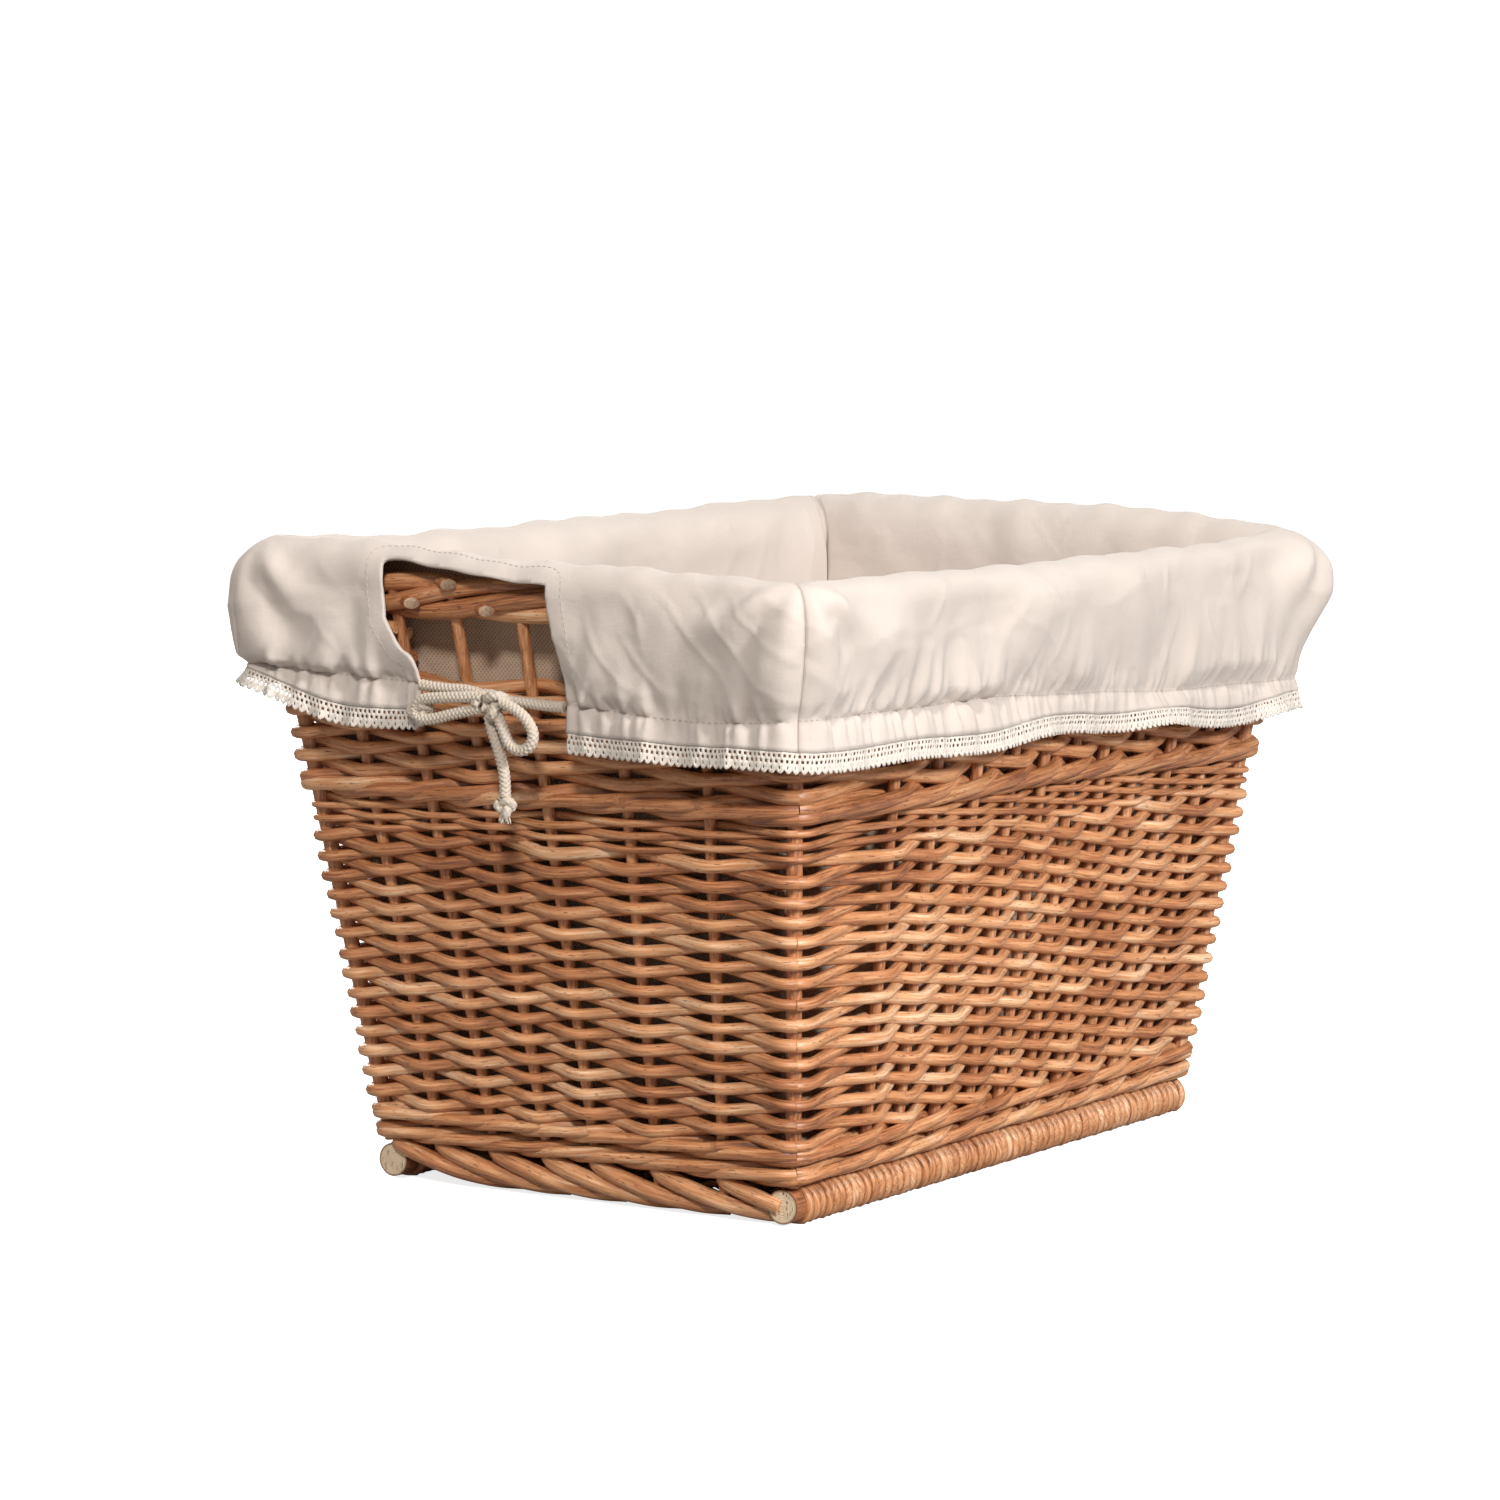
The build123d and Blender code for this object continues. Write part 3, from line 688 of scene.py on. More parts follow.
upsettLow, upsettHigh = (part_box("front_upsett_wale")[i][2] for i in (0, 1))
work = bands(allSides)
for index in range(2):
    middle = upsettLow + (index + 0.5) * (upsettHigh - upsettLow) / 2
    waledRound(work, allSides, middle, upsettSet, index, 11 + index)
for side in allSides:
    work[side].finish(side + "_upsett_rods", "basket", [side + "_upsett_wale"], "willow_wale", waleFinish)

sidingLow, sidingHigh = (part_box("front_siding")[i][2] for i in (0, 1))
fineHeight = sidingSet["fineRows"] * sidingSet["finePitch"]
pitch = (sidingHigh - sidingLow - fineHeight) / sidingSet["rows"]
work = bands(allSides)
for row in range(sidingSet["rows"]):
    randedRow(work, allSides, sidingLow + (row + 0.5) * pitch, sidingSet, row, 21)
for row in range(sidingSet["fineRows"]):
    height = sidingHigh - fineHeight + (row + 0.5) * sidingSet["finePitch"]
    randedRow(work, allSides, height, fineSet, row + sidingSet["rows"], 22)
for side in allSides:
    work[side].finish(side + "_siding_rods", "basket", [side + "_siding"], "willow_weave", rodFinish)
print("stage: siding")

waleLow, waleHigh = sidingHigh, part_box("front_upper_siding")[0][2]
work = bands(allSides)
waledRound(work, allSides, waleLow + waleSet["diameter"] * 0.98, waleSet, 1, 31)
for row in range(2):
    randedRow(work, allSides, waleHigh - (1.5 - row) * 5.2 * mm, overWaleSet, row, 32)
for side in allSides:
    work[side].finish(side + "_wale_rods", "basket", [side + "_upper_wale"], "willow_wale", waleFinish)

borderLow, borderHigh = (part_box("front_border")[i][2] for i in (0, 1))
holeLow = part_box("left_upper_siding")[1][2]
longRows = int(round((borderLow - waleHigh) / upperSet["pitch"]))
endRows = int(round((holeLow - waleHigh) / upperSet["pitch"]))
work, cheeks = bands(allSides), bands(endSides)


# Beside a handle opening a row stops just past the last stake, so each end has two short stretches.
def cheekSpans(side, height):
    stakes = uprightsAt(side, height)
    return [(stakes[0], stakes[2] + 1 * mm), (stakes[5] - 1 * mm, stakes[-1])]


for row in range(longRows):
    height = waleHigh + (row + 0.5) * (borderLow - waleHigh) / longRows
    if row < endRows:
        randedRow(work, allSides, height, upperSet, row, 41)
    else:
        randedRow(work, longSides, height, upperSet, row, 41)
        randedRow(cheeks, endSides, height, upperSet, row, 41, cheekSpans)
for side in allSides:
    work[side].finish(side + "_upper_rods", "basket", [side + "_upper_siding"], "willow_weave", rodFinish)
for side in endSides:
    cheeks[side].finish(side + "_cheek_rods", "basket", [side + "_handle_cheeks"], "willow_weave", rodFinish)

borderSet = {"halfLength": 246.5 * mm, "halfWidth": 141.7 * mm, "radius": 9 * mm, "strands": 4,
             "turnEvery": 6, "height": 285 * mm, "sway": 0.4 * mm, "diameter": 8.6 * mm, "out": 3.9 * mm,
             "up": 6.4 * mm, "drop": 2.2 * mm, "step": 3.2 * mm}
# Cut ends of rods, in millimetres: where they stand along and up on the ends, beside which stakes, how far
# each starts back, out and up, and how wide it is.
stubSet = {"spots": ((-57.4, 281.7), (-15.8, 279.9), (-37.0, 291.0)), "beside": 6, "height": 280.5,
           "endStakes": (0, 5), "line": ((-9, 2.0, 1), (-4, 6.5, 0.5), (0, 10.2, 0)), "points": 8,
           "wide": 3.9, "cutWide": 3.3, "flat": 0.72, "bevel": 0.25 * mm, "sides": 12}


def borderHalves(side):
    return (borderSet["halfLength"], borderSet["halfWidth"])[::1 if side in longSides else -1]


# Rolled border: four heavy rods wind round each other like a long rope, out*cos and up*sin of the same turn.
def rolledBorder(bundle, side, s):
    middle = (borderLow + borderHigh) / 2 - s["drop"] / 2
    uprights = uprightsAt(side, s["height"])
    halves = borderHalves(side)
    end = sideEnd(halves[0], s["radius"])
    along = np.linspace(-end, end, int(2 * end / s["step"]))
    upright = np.interp(along, uprights * end / uprights[-1], np.arange(len(uprights))) + firstUpright[side]
    for strand in range(s["strands"]):
        rng = np.random.default_rng(510 + strand)
        cuts, tones = np.array([4.0, 15.0, 26.0]) + 2.2 * strand, rng.uniform(0, 1, 3)
        tone, taper = rodValues(upright, cuts, tones)
        turn = 2 * math.pi * (upright / s["turnEvery"] + strand / s["strands"])
        z = middle + s["up"] * np.sin(turn) + s["sway"] * np.sin(upright * 1.9 + strand)
        path = onSide(side, along, s["out"] * np.cos(turn), z, halves, s["radius"])
        tube(bundle, path, s["diameter"] / 2 * taper, None, tone, 12, headings=cornerHeadings(side))


# The cut ends stand out between the heavy rods, each with a bevel and a pale face.
def borderStubs(bundle, side, s):
    isEnd = side in endSides
    spots = list(s["spots"]) if isEnd else []
    stakes = uprightsAt(side, 0.28)[1:-1] / mm + s["beside"]
    spots += [(place, s["height"]) for index, place in enumerate(stakes)
              if not isEnd or index in s["endStakes"]]
    back, out, up = np.array(s["line"]).T
    for index, (place, z) in enumerate(spots):
        stub = through(onSide(side, (place + back) * mm, out * mm, (z + up) * mm, borderHalves(side),
                              borderSet["radius"]), s["points"])
        stub = np.concatenate([stub, stub[-1:] + unit(stub[-1:] - stub[-2:-1]) * s["bevel"]])
        cut = np.repeat([0.0] * s["points"] + [1.0], s["sides"])
        wide = np.array([s["wide"]] * s["points"] + [s["cutWide"]]) * mm
        tube(bundle, stub, wide, wide * s["flat"], 0.1 + 0.1 * (index % 3), s["sides"], cut=cut)


for side in allSides:
    bundle = Bundle()
    rolledBorder(bundle, side, borderSet)
    borderStubs(bundle, side, stubSet)
    bundle.finish(side + "_border_rods", "basket", [side + "_border"], "willow_border", waleFinish)
print("stage: upper weave and border")

# ---- the foot ----
footSet = {"diameter": 9.2 * mm, "tip": 7.4 * mm, "firstAhead": 4 * mm, "short": 5 * mm,
           "cornerClear": 6 * mm,
           "line": ((-2, -1.0, 27), (-1.5, 2.0, 21.5), (4, 5.4, 17.2), (19, 6.6, 12.6), (38, 5.4, 7.6),
                    (56, 2.2, 5.0), (70, -1.5, 4.6))}


# Foot rods: each comes down beside a stake, bends forward and slopes to the floor under the next one; the
# last ones stop short of the corner.
def footBorder(side, s):
    bundle = Bundle()
    rng = np.random.default_rng(61)
    stakes = uprightsAt(side, 0.018)
    halves = tuple(h - wallSet["stakeInset"] for h in wallHalves(side, 0.0))
    for index, place in enumerate(stakes[:-1]):
        line = through(s["line"], 30) * mm
        ahead = place + line[:, 0] + (s["firstAhead"] if index == 0 else 0)
        ahead = np.minimum(ahead, stakes[-1] - s["short"])
        keep = np.concatenate([[True], np.diff(ahead) != 0])
        line, ahead = line[keep], np.maximum(ahead[keep], s["cornerClear"] - halves[0])
        path = onSide(side, ahead, line[:, 1], line[:, 2], halves, 1 * mm)
        taper = np.linspace(s["diameter"], s["tip"], len(path)) / 2
        tube(bundle, path, taper, None, rng.uniform(0.1, 0.9), 12, start=index)
    bundle.finish("foot_rods_" + side, "basket", ["foot_border_" + side], "willow_border", waleFinish)


for side in endSides:
    footBorder(side, footSet)

wrapSet = {"radius": 8.4 * mm, "turns": 64, "halfWide": 2.4 * mm, "halfThick": 1.75 * mm, "pitch": 5.0 * mm,
           "gap": 1.5 * mm, "perTurn": 26, "past": 3.2 * mm}


# Wrapping: a flat skein wound as a helix round the stick's axis, x grows with the turn and jumps a little
# between groups; its underside is pressed flat on the floor.
def wrapping(side, s):
    bundle = Bundle()
    sign = -1 if side == "front" else 1
    low, high = (corner[0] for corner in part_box("base_wrapping_" + side))
    low, high = low - s["past"] + s["halfWide"], high + s["past"] - s["halfWide"]
    turn = np.linspace(0, s["turns"], s["turns"] * s["perTurn"])
    rng = np.random.default_rng(71)
    jumps = np.cumsum(rng.integers(7, 11, 12)) + 0.25
    shift = np.sum(0.5 + 0.5 * np.tanh((turn[:, None] - jumps[None]) * 4.5), 1) * s["gap"]
    widths = rng.uniform(0.86, 1.12, s["turns"] + 1)
    wide = np.interp(turn, np.arange(s["turns"] + 1), widths)
    x = turn * s["pitch"] + shift
    x = low + x / x[-1] * (high - low)
    angle = turn * 2 * math.pi
    radius = s["radius"] + 0.25 * mm * np.sin(turn * 2.1)
    path = np.stack([x, sign * (endSet["axisY"] + radius * np.sin(angle)),
                     endSet["axisZ"] + radius * np.cos(angle)], -1)
    tone = np.interp(turn, np.arange(s["turns"] + 1), rng.uniform(0.2, 0.95, s["turns"] + 1))
    tube(bundle, path, s["halfThick"], s["halfWide"] * wide, tone, 10, reference=(1, 0, 0))
    bundle.points[0][:, 2] = np.maximum(bundle.points[0][:, 2], 0)
    bundle.finish("wrapped_skein_" + side, "basket", ["base_wrapping_" + side], "willow_skein", skeinFinish)


for side in longSides:
    wrapping(side, wrapSet)

floorSet = {"pitch": 5.4 * mm, "diameter": 3.8 * mm, "middle": 10.5 * mm, "swing": 4.3 * mm,
            "stickPitch": 36 * mm}


# Base weave: rods across the base, over one stick and under the next, a cosine of the distance across.
def baseWeave(s):
    bundle = Bundle()
    low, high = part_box("base_weave")
    reachY = high[1] - s["diameter"] / 2
    places = np.arange(low[0] + s["diameter"] / 2, high[0] - s["diameter"] / 2, s["pitch"])
    rng = np.random.default_rng(81)
    y = np.linspace(-reachY, reachY, 56)
    for index, x in enumerate(places):
        z = s["middle"] + s["swing"] * np.cos(math.pi * (y / s["stickPitch"] + index))
        path = np.stack([np.full_like(y, x), y, z], -1)
        tube(bundle, path, s["diameter"] / 2, None, rng.uniform(), 6, reference=(1, 0, 0))
    bundle.finish("base_rods", "basket", ["base_weave"], "willow_weave", rodFinish)


baseWeave(floorSet)


# The stakes, posts and sticks keep their CAD shapes and only take a material.
def dress(node, material):
    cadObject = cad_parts[node]
    if not cadObject.material_slots:
        cadObject.data.materials.append(material)
    for slot in cadObject.material_slots:
        slot.material = material


for node in ("corner_posts", "front_stakes", "back_stakes", "left_stakes", "right_stakes"):
    dress(node, stakeFinish)
dress("inner_base_sticks", stickFinish)
for node in ("outer_base_stick_front", "outer_base_stick_back"):
    dress(node, outerStickFinish)
print("stage: foot")

# ---- the liner ----
linerSet = {"thick": 1.0 * mm, "halfLength": 254.5 * mm, "halfWidth": 149.7 * mm, "corner": 14 * mm,
            "innerTurn": 3 * mm, "floor": 20.2 * mm, "floorLength": 186.4 * mm, "floorWidth": 105.9 * mm,
            "columnStep": 1.05 * mm, "rowStep": 1.7 * mm,
            "profile": ((-27, 238), (-25.6, 252), (-24.4, 264), (-23.6, 275), (-22.4, 284), (-19, 292),
                        (-13.5, 297.4), (-7, 299.8), (-1.5, 299.6), (3.6, 297.2), (7.4, 291.5), (9.4, 284),
                        (9.8, 274), (8.8, 262), (6.2, 250), (3.6, 242), (2, 238), (2.8, 234.6), (4.2, 228)),
            "gatherHeight": 238 * mm,
            "cutOut": ((28, 180), (28, 250), (21.5, 281), (20, 292), (-35, 295), (-68, 297), (-71, 291),
                       (-69, 273), (-59, 259), (-51, 246), (-49.5, 180))}
# The cuff's section from its inner edge over the rim to the hem, as (outward, height), and the travel along
# it.
profileLine = evenly(through(linerSet["profile"], 400) * mm, linerSet["rowStep"])
profileStep = float(np.linalg.norm(profileLine[1] - profileLine[0]))
profileTravel = np.arange(len(profileLine)) * profileStep
crestRow = int(np.argmax(profileLine[:, 1]))
crestTravel = float(profileTravel[crestRow])
gatherTravel = float(np.interp(-linerSet["gatherHeight"], -profileLine[crestRow:, 1],
                               profileTravel[crestRow:]))
cuffDrop = float(profileTravel[-1])
# A place round the rim, in metres: the sides follow each other, so that folds run on past the corners.
ringStart = {"back": 0.0, "left": 0.51, "front": 0.81, "right": 1.32}
ringSpan = {"back": 0.51, "left": 0.3, "front": 0.51, "right": 0.3}
ringLength = 1.62


def ringAt(side, share):
    return ringStart[side] + (share + 1) / 2 * ringSpan[side]


def linerHalves(side, length, width):
    return (length, width) if side in longSides else (width, length)


# Gathers of random place, depth, width and height; about a third are longer, and about a third are hollows.
foldSet = {"spacing": (3.8, 8.6), "deep": (1.8, 3.4), "wide": (1.3, 2.1), "tall": (6, 14), "slant": 0.8,
           "share": 0.3, "longer": (1.2, 1.6, 2.7), "hollow": -0.6, "clear": 8 * mm}


def foldList(s):
    rng = np.random.default_rng(91)
    places = np.cumsum(rng.uniform(*s["spacing"], 400)) * mm
    places = places[places < ringLength - s["clear"]]
    count = len(places)
    long = rng.random(count) < s["share"]
    deep, wide, tall = (rng.uniform(*s[key], count) * mm * np.where(long, more, 1)
                        for key, more in zip(("deep", "wide", "tall"), s["longer"]))
    slant = rng.uniform(-s["slant"], s["slant"], count)
    sign = np.where(rng.random(count) < s["share"], s["hollow"], 1.0)
    return list(zip(places, deep, wide, tall, slant, sign))


gathers = foldList(foldSet)
# How strong the gathers are at places round the rim.
gatherStrength = ((0, 0.6), (0.45, 0.7), (0.55, 1.0), (0.88, 1.0), (0.98, 0.75), (1.12, 0.4), (1.32, 0.6),
                  (1.62, 0.6))
fanSet = {"deep": 3.2 * mm, "reach": 62 * mm, "ribs": 8.5, "start": 22 * mm, "seamClear": 5 * mm, "bend": 60}
# Noise over the cloth: how far it drifts round per travel, cells round the rim, cell height and seed.
noiseSet = {"broad": (0.3, 34, 34 * mm, 92), "dimple": (-0.4, 80, 24 * mm, 98),
            "crease": (0.6, 64, 30 * mm, 93), "crossing": (-0.9, 84, 24 * mm, 94),
            "hang": (0.25, 30, 110 * mm, 95), "cross": (-0.5, 52, 46 * mm, 96)}
# Heights of the relief, and how far past the crest, beside the drawn line and inside the rim it comes in.
reliefSet = {"spread": 14 * mm, "below": 13 * mm, "waist": 2.5 * mm, "broad": 4.4 * mm, "dimple": 1.7 * mm,
             "ridge": 0.75 * mm, "pastCrest": 6 * mm, "freeOver": 16 * mm, "besideLine": 9 * mm,
             "insideRim": 30 * mm}


def ringNoise(name, ringPlace, travel):
    drift, cells, tall, seed = noiseSet[name]
    return softNoise((ringPlace + travel * drift) / ringLength * cells, travel / tall, cells, seed)


# A crease: a sharp line where the noise passes through nothing.
def creased(noise, narrow, power):
    return np.maximum(1 - np.abs(noise) * narrow, 0) ** power


# Cuff relief, outward: each gather is a ridge that starts at the drawn line, leans, widens and fades upward;
# below the line it fades to the hem. Broad noise, sharp creases and a fan of ribs at each corner lie over
# that.
def cuffRelief(ringPlace, travel, fromCorner):
    s = reliefSet
    above = gatherTravel - travel
    up, down = np.maximum(above, 0), np.maximum(-above, 0)
    spread = 1 + up / s["spread"] + down / s["spread"]
    waist = np.exp(-down / s["below"]) * (0.35 + 0.65 * np.minimum((up + down) / s["waist"], 1))
    relief = np.zeros_like(ringPlace)
    for place, deep, wide, tall, slant, sign in gathers:
        centre = place + slant * up * 0.55 + slant * down * 0.2
        across = np.exp(-((ringPlace - centre) / (wide * spread)) ** 2)
        relief += sign * deep * np.exp(-up / tall) * waist * across
    relief *= np.interp(ringPlace, *zip(*gatherStrength))
    broad, dimple, crease, crossing = (ringNoise(name, ringPlace, travel)
                                       for name in ("broad", "dimple", "crease", "crossing"))
    ridge = creased(crease, 2.0, 1.6) + 0.7 * creased(crossing, 2.4, 1.6)
    over = travel - crestTravel
    free = np.clip((over - s["pastCrest"]) / s["freeOver"], 0.12, 1)
    free = free * np.clip(np.abs(above) / s["besideLine"], 0.2, 1)
    free = np.maximum(free, np.clip(-over / s["insideRim"], 0, 0.6))
    fromRim = np.maximum(over, 1 * mm)
    away = np.hypot(fromCorner, fromRim)
    fan = np.sin(np.arctan2(np.abs(fromCorner), fromRim) * fanSet["ribs"] + np.sin(away * fanSet["bend"]))
    fan = fan * np.exp(-(away / fanSet["reach"]) ** 2) * np.clip(away / fanSet["start"], 0, 1) * np.clip(
        np.abs(fromCorner) / fanSet["seamClear"], 0, 1)
    noise = broad * s["broad"] + dimple * s["dimple"] + ridge * s["ridge"]
    return relief + free * (noise + fan * fanSet["deep"])


swellSet = {"out": 6.5 * mm, "wide": 30 * mm, "height": 281 * mm, "tall": 20 * mm, "pastCrest": 2 * mm,
            "over": 12 * mm}


# Near a corner the cuff stands out, most a little below the rim, and only past its crest.
def cornerSwell(toCorner, height, travel, s):
    near = np.exp(-(toCorner / s["wide"]) ** 2)
    outside = np.clip((travel - crestTravel - s["pastCrest"]) / s["over"], 0, 1)
    return near * s["out"] * np.exp(-((height - s["height"]) / s["tall"]) ** 2) * outside


# How far the rim stands above the border, in millimetres, at places shared evenly along each side.
rimSet = {"front": (-1, -2, -2.5, -2, -1.5, -0.5, 3), "right": (3, 8, 11, 12, 12, 12, 11),
          "back": (11, 9, 7, 6.5, 5, 5, 8), "left": (8, 8, 6, 2.5, 2, 0.5, -1), "pucker": 0.5}


# The rim's heights are joined smoothly, with small puckers that die out at the corners.
def rimLift(side, share):
    pucker = rimSet["pucker"] * (np.sin(share * 37 + len(side)) + 0.8 * np.sin(share * 19)) * (1 - share ** 8)
    return sideHeights(rimSet[side], share) + pucker * mm


# The lift's share down the cloth: whole on top of the rim, little below it.
def liftFade(travel):
    past = travel - crestTravel
    return np.interp(past, np.array([-66, -38, -14, 0, 14, 32, 56]) * mm, (0.1, 0.45, 0.85, 1, 0.5, 0.15, 0))


# How far the gathered line and the hem stand above their mean heights, in the same way.
gatherSet = {"left": (13, 9, 7, 4, 0.5, -1.5, 1), "front": (1, 0.5, 0, -3, -8, -11, -12),
             "right": (-12, -8, -4, 0, 2, 4, 5), "back": (5, 3, 0, -2, 0, 6, 13)}
hemSet = {"left": (17, 7, 6.5, 3, -1, -5, -3.5), "front": (-3.5, -3.5, -4, -5, -7.5, -10, -10),
          "right": (-10, -7, -4, -1, 1, 3, 6), "back": (6, 2, -1, -2, 0, 7, 17)}


def sideHeights(heights, share):
    line = through([(v, 0) for v in heights], 121)[:, 0]
    return np.interp(share, np.linspace(-1, 1, 121), line) * mm


riseFrom = crestTravel + 14 * mm


# The rise of a point of the cuff: none at the rim, the gathered line's at that line, the hem's at the hem, both
# with slow waves round the rim.
def cuffRise(side, share, travel, ringPlace):
    waves = (1.5 * np.sin(ringPlace * 21 + 1) + 1.1 * np.sin(ringPlace * 47)) * mm
    line = sideHeights(gatherSet[side], share) + waves * 0.3
    hem = sideHeights(hemSet[side], share) - waves
    toLine = np.clip((travel - riseFrom) / (gatherTravel - riseFrom), 0, 1)
    toHem = np.clip((travel - gatherTravel) / (cuffDrop - gatherTravel), 0, 1)
    return line * toLine * toLine * (1 - toHem) + hem * toHem


seamSet = {"deep": 1.1 * mm, "wide": 1.3 * mm}


# A point of the cuff: the profile gives its distance beyond the border and its height for the travel from
# the inner edge; relief, the corner's swell, the rim's lift and the hem's rise are added, the seam is
# pressed in, and `lift` moves the point along the cloth's normal.
def cuffPoint(side, share, travel, lift=0.0):
    s = linerSet
    share, travel = np.broadcast_arrays(share, travel)
    reach, height = np.moveaxis(pathAt(travel, profileTravel, profileLine), -1, 0)
    slope = (pathAt(travel + 1 * mm, profileTravel, profileLine)
             - pathAt(travel - 1 * mm, profileTravel, profileLine))
    slopeOut, slopeUp = np.moveaxis(slope / np.hypot(slope[..., :1], slope[..., 1:]), -1, 0)
    radius = np.maximum(s["corner"], s["innerTurn"] - reach)
    halves = linerHalves(side, s["halfLength"], s["halfWidth"])
    end = sideEnd(halves[0], radius)
    along = share * end
    toCorner = end - np.abs(along)
    ringPlace = ringAt(side, share)
    seam = np.exp(-(toCorner / seamSet["wide"]) ** 2) * seamSet["deep"]
    push = cuffRelief(ringPlace, travel, toCorner) - seam + lift
    swell = cornerSwell(toCorner, height, travel, swellSet)
    rise = rimLift(side, share) * liftFade(travel) + cuffRise(side, share, travel, ringPlace)
    return onSide(side, along, reach - push * slopeUp + swell, height + push * slopeOut + rise, halves,
                  radius)


def clothGrid(side):
    halves = linerHalves(side, linerSet["halfLength"], linerSet["halfWidth"])
    columns = int(2 * halves[0] / linerSet["columnStep"]) + 1
    return np.linspace(-1, 1, columns)


# Whether points lie inside an outline: a line from each one crosses it an odd number of times.
def inside(points, outline):
    x, y = points[..., 0], points[..., 1]
    result = np.zeros(x.shape, bool)
    for (x1, y1), (x2, y2) in zip(outline, np.roll(outline, -1, 0)):
        crosses = (y1 > y) != (y2 > y)
        result ^= crosses & (x < (x2 - x1) * (y - y1) / (y2 - y1 + 1e-15) + x1)
    return result


def nearestOn(points, outline):
    best, far = points.copy(), np.full(len(points), 1e9)
    for a, b in zip(outline, np.roll(outline, -1, 0)):
        t = np.clip(((points - a) @ (b - a)) / ((b - a) @ (b - a)), 0, 1)
        spot = a + t[:, None] * (b - a)
        gap = np.linalg.norm(points - spot, axis=1)
        best[gap < far] = spot[gap < far]
        far = np.minimum(gap, far)
    return best


# The cut-out's outline as share along the side and travel down the cuff.
def cutOutline(side):
    halves = linerHalves(side, linerSet["halfLength"], linerSet["halfWidth"])
    corners = np.array(linerSet["cutOut"]) * mm
    line = np.concatenate([through(corners[:4], 40), through(corners[4:8], 50), through(corners[8:], 20)])
    top = crestRow + 4
    travel = np.interp(-line[:, 1], -profileLine[top:, 1], profileTravel[top:])
    travel = np.where(line[:, 1] < profileLine[-1, 1], cuffDrop + (profileLine[-1, 1] - line[:, 1]), travel)
    end = sideEnd(halves[0], linerSet["corner"])
    return np.c_[line[:, 0] / end, travel], end


# A cuff is one grid of share and travel; on the ends the cells inside the cut-out go, and the vertices left
# round it move onto its outline.
def cuff(side):
    share, travel = np.meshgrid(clothGrid(side), profileTravel, indexing="ij")
    faces = gridFaces(*share.shape)
    flat = np.stack([share.ravel(), travel.ravel()], -1)
    if side in endSides:
        outline, end = cutOutline(side)
        scale = np.array([end, 1.0])
        gone = inside(flat[faces].mean(1) * scale, outline * scale)
        edge = np.intersect1d(faces[gone].ravel(), faces[~gone].ravel())
        onHem = flat[edge, 1] > cuffDrop - 1e-6
        moved = nearestOn(flat[edge] * scale, outline * scale) / scale
        moved[onHem, 1] = cuffDrop
        flat[edge] = moved
        faces = faces[~gone]
        used, inverse = np.unique(faces.ravel(), return_inverse=True)
        flat, faces = flat[used], inverse.reshape(-1, 4)
    bundle = Bundle()
    share, travel = flat.T
    bundle.add(cuffPoint(side, share, travel), faces, cloth=np.c_[ringAt(side, share), travel])
    # The side against the wall takes the darker backing, which is painted shade.
    return bundle.finish("cuff_" + side, "liner", ["liner_" + side + "_cuff"], "liner_cotton", clothFinish,
                         linerSet["thick"], paintedShadeBackingFinish)


panelSet = {"rows": 120, "hang": 3.8 * mm, "ridge": 1.8 * mm, "top": 14 * mm, "foot": 0.08,
            "footTurn": 5 * mm, "seamClear": 9 * mm}


# Panel folds, inward: long soft hanging folds and cross creases, none at the rim or at the floor edge.
def panelRelief(ringPlace, down, s):
    hang, cross = (ringNoise(name, ringPlace, down) for name in ("hang", "cross"))
    return np.clip(down / s["top"], 0, 1) * ((hang + 1) * s["hang"] + creased(cross, 1.5, 2) * s["ridge"])


# A panel runs from the floor edge up to the cuff's inner edge, half sizes growing with the height, and leans
# to meet that edge by the cube of its own height.
def panel(side):
    s = linerSet
    share = clothGrid(side)[::2]
    share[-1] = 1
    share, up = np.meshgrid(share, np.linspace(0, 1, panelSet["rows"]), indexing="ij")
    rimReach, rimHeight = profileLine[0]
    height = s["floor"] + up * (rimHeight - s["floor"])
    length = s["floorLength"] + up * (s["halfLength"] + rimReach - s["floorLength"])
    width = s["floorWidth"] + up * (s["halfWidth"] + rimReach - s["floorWidth"])
    halves = linerHalves(side, length, width)
    radius = s["innerTurn"] + (1 - up) * panelSet["footTurn"]
    end = sideEnd(halves[0], radius)
    along = share * end
    ringPlace, down = ringAt(side, share), rimHeight - height
    push = panelRelief(ringPlace, down, panelSet) * np.clip(up / panelSet["foot"], 0, 1) * np.clip(
        (end - np.abs(along)) / panelSet["seamClear"], 0.1, 1)
    points = onSide(side, along, -push, height, halves, radius)
    toCuff = cuffPoint(side, share[:, -1], 0.0) - points[:, -1]
    points = points + toCuff[:, None] * (up ** 3)[..., None]
    bundle = Bundle()
    bundle.add(points.reshape(-1, 3), gridFaces(*share.shape),
               cloth=np.c_[ringPlace.ravel(), down.ravel() + 2.0])
    # The side against the wall takes the darker backing, which is painted shade.
    return bundle.finish("panel_" + side, "liner", ["liner_" + side + "_panel"], "liner_cotton", clothFinish,
                         s["thick"], paintedShadeBackingFinish)


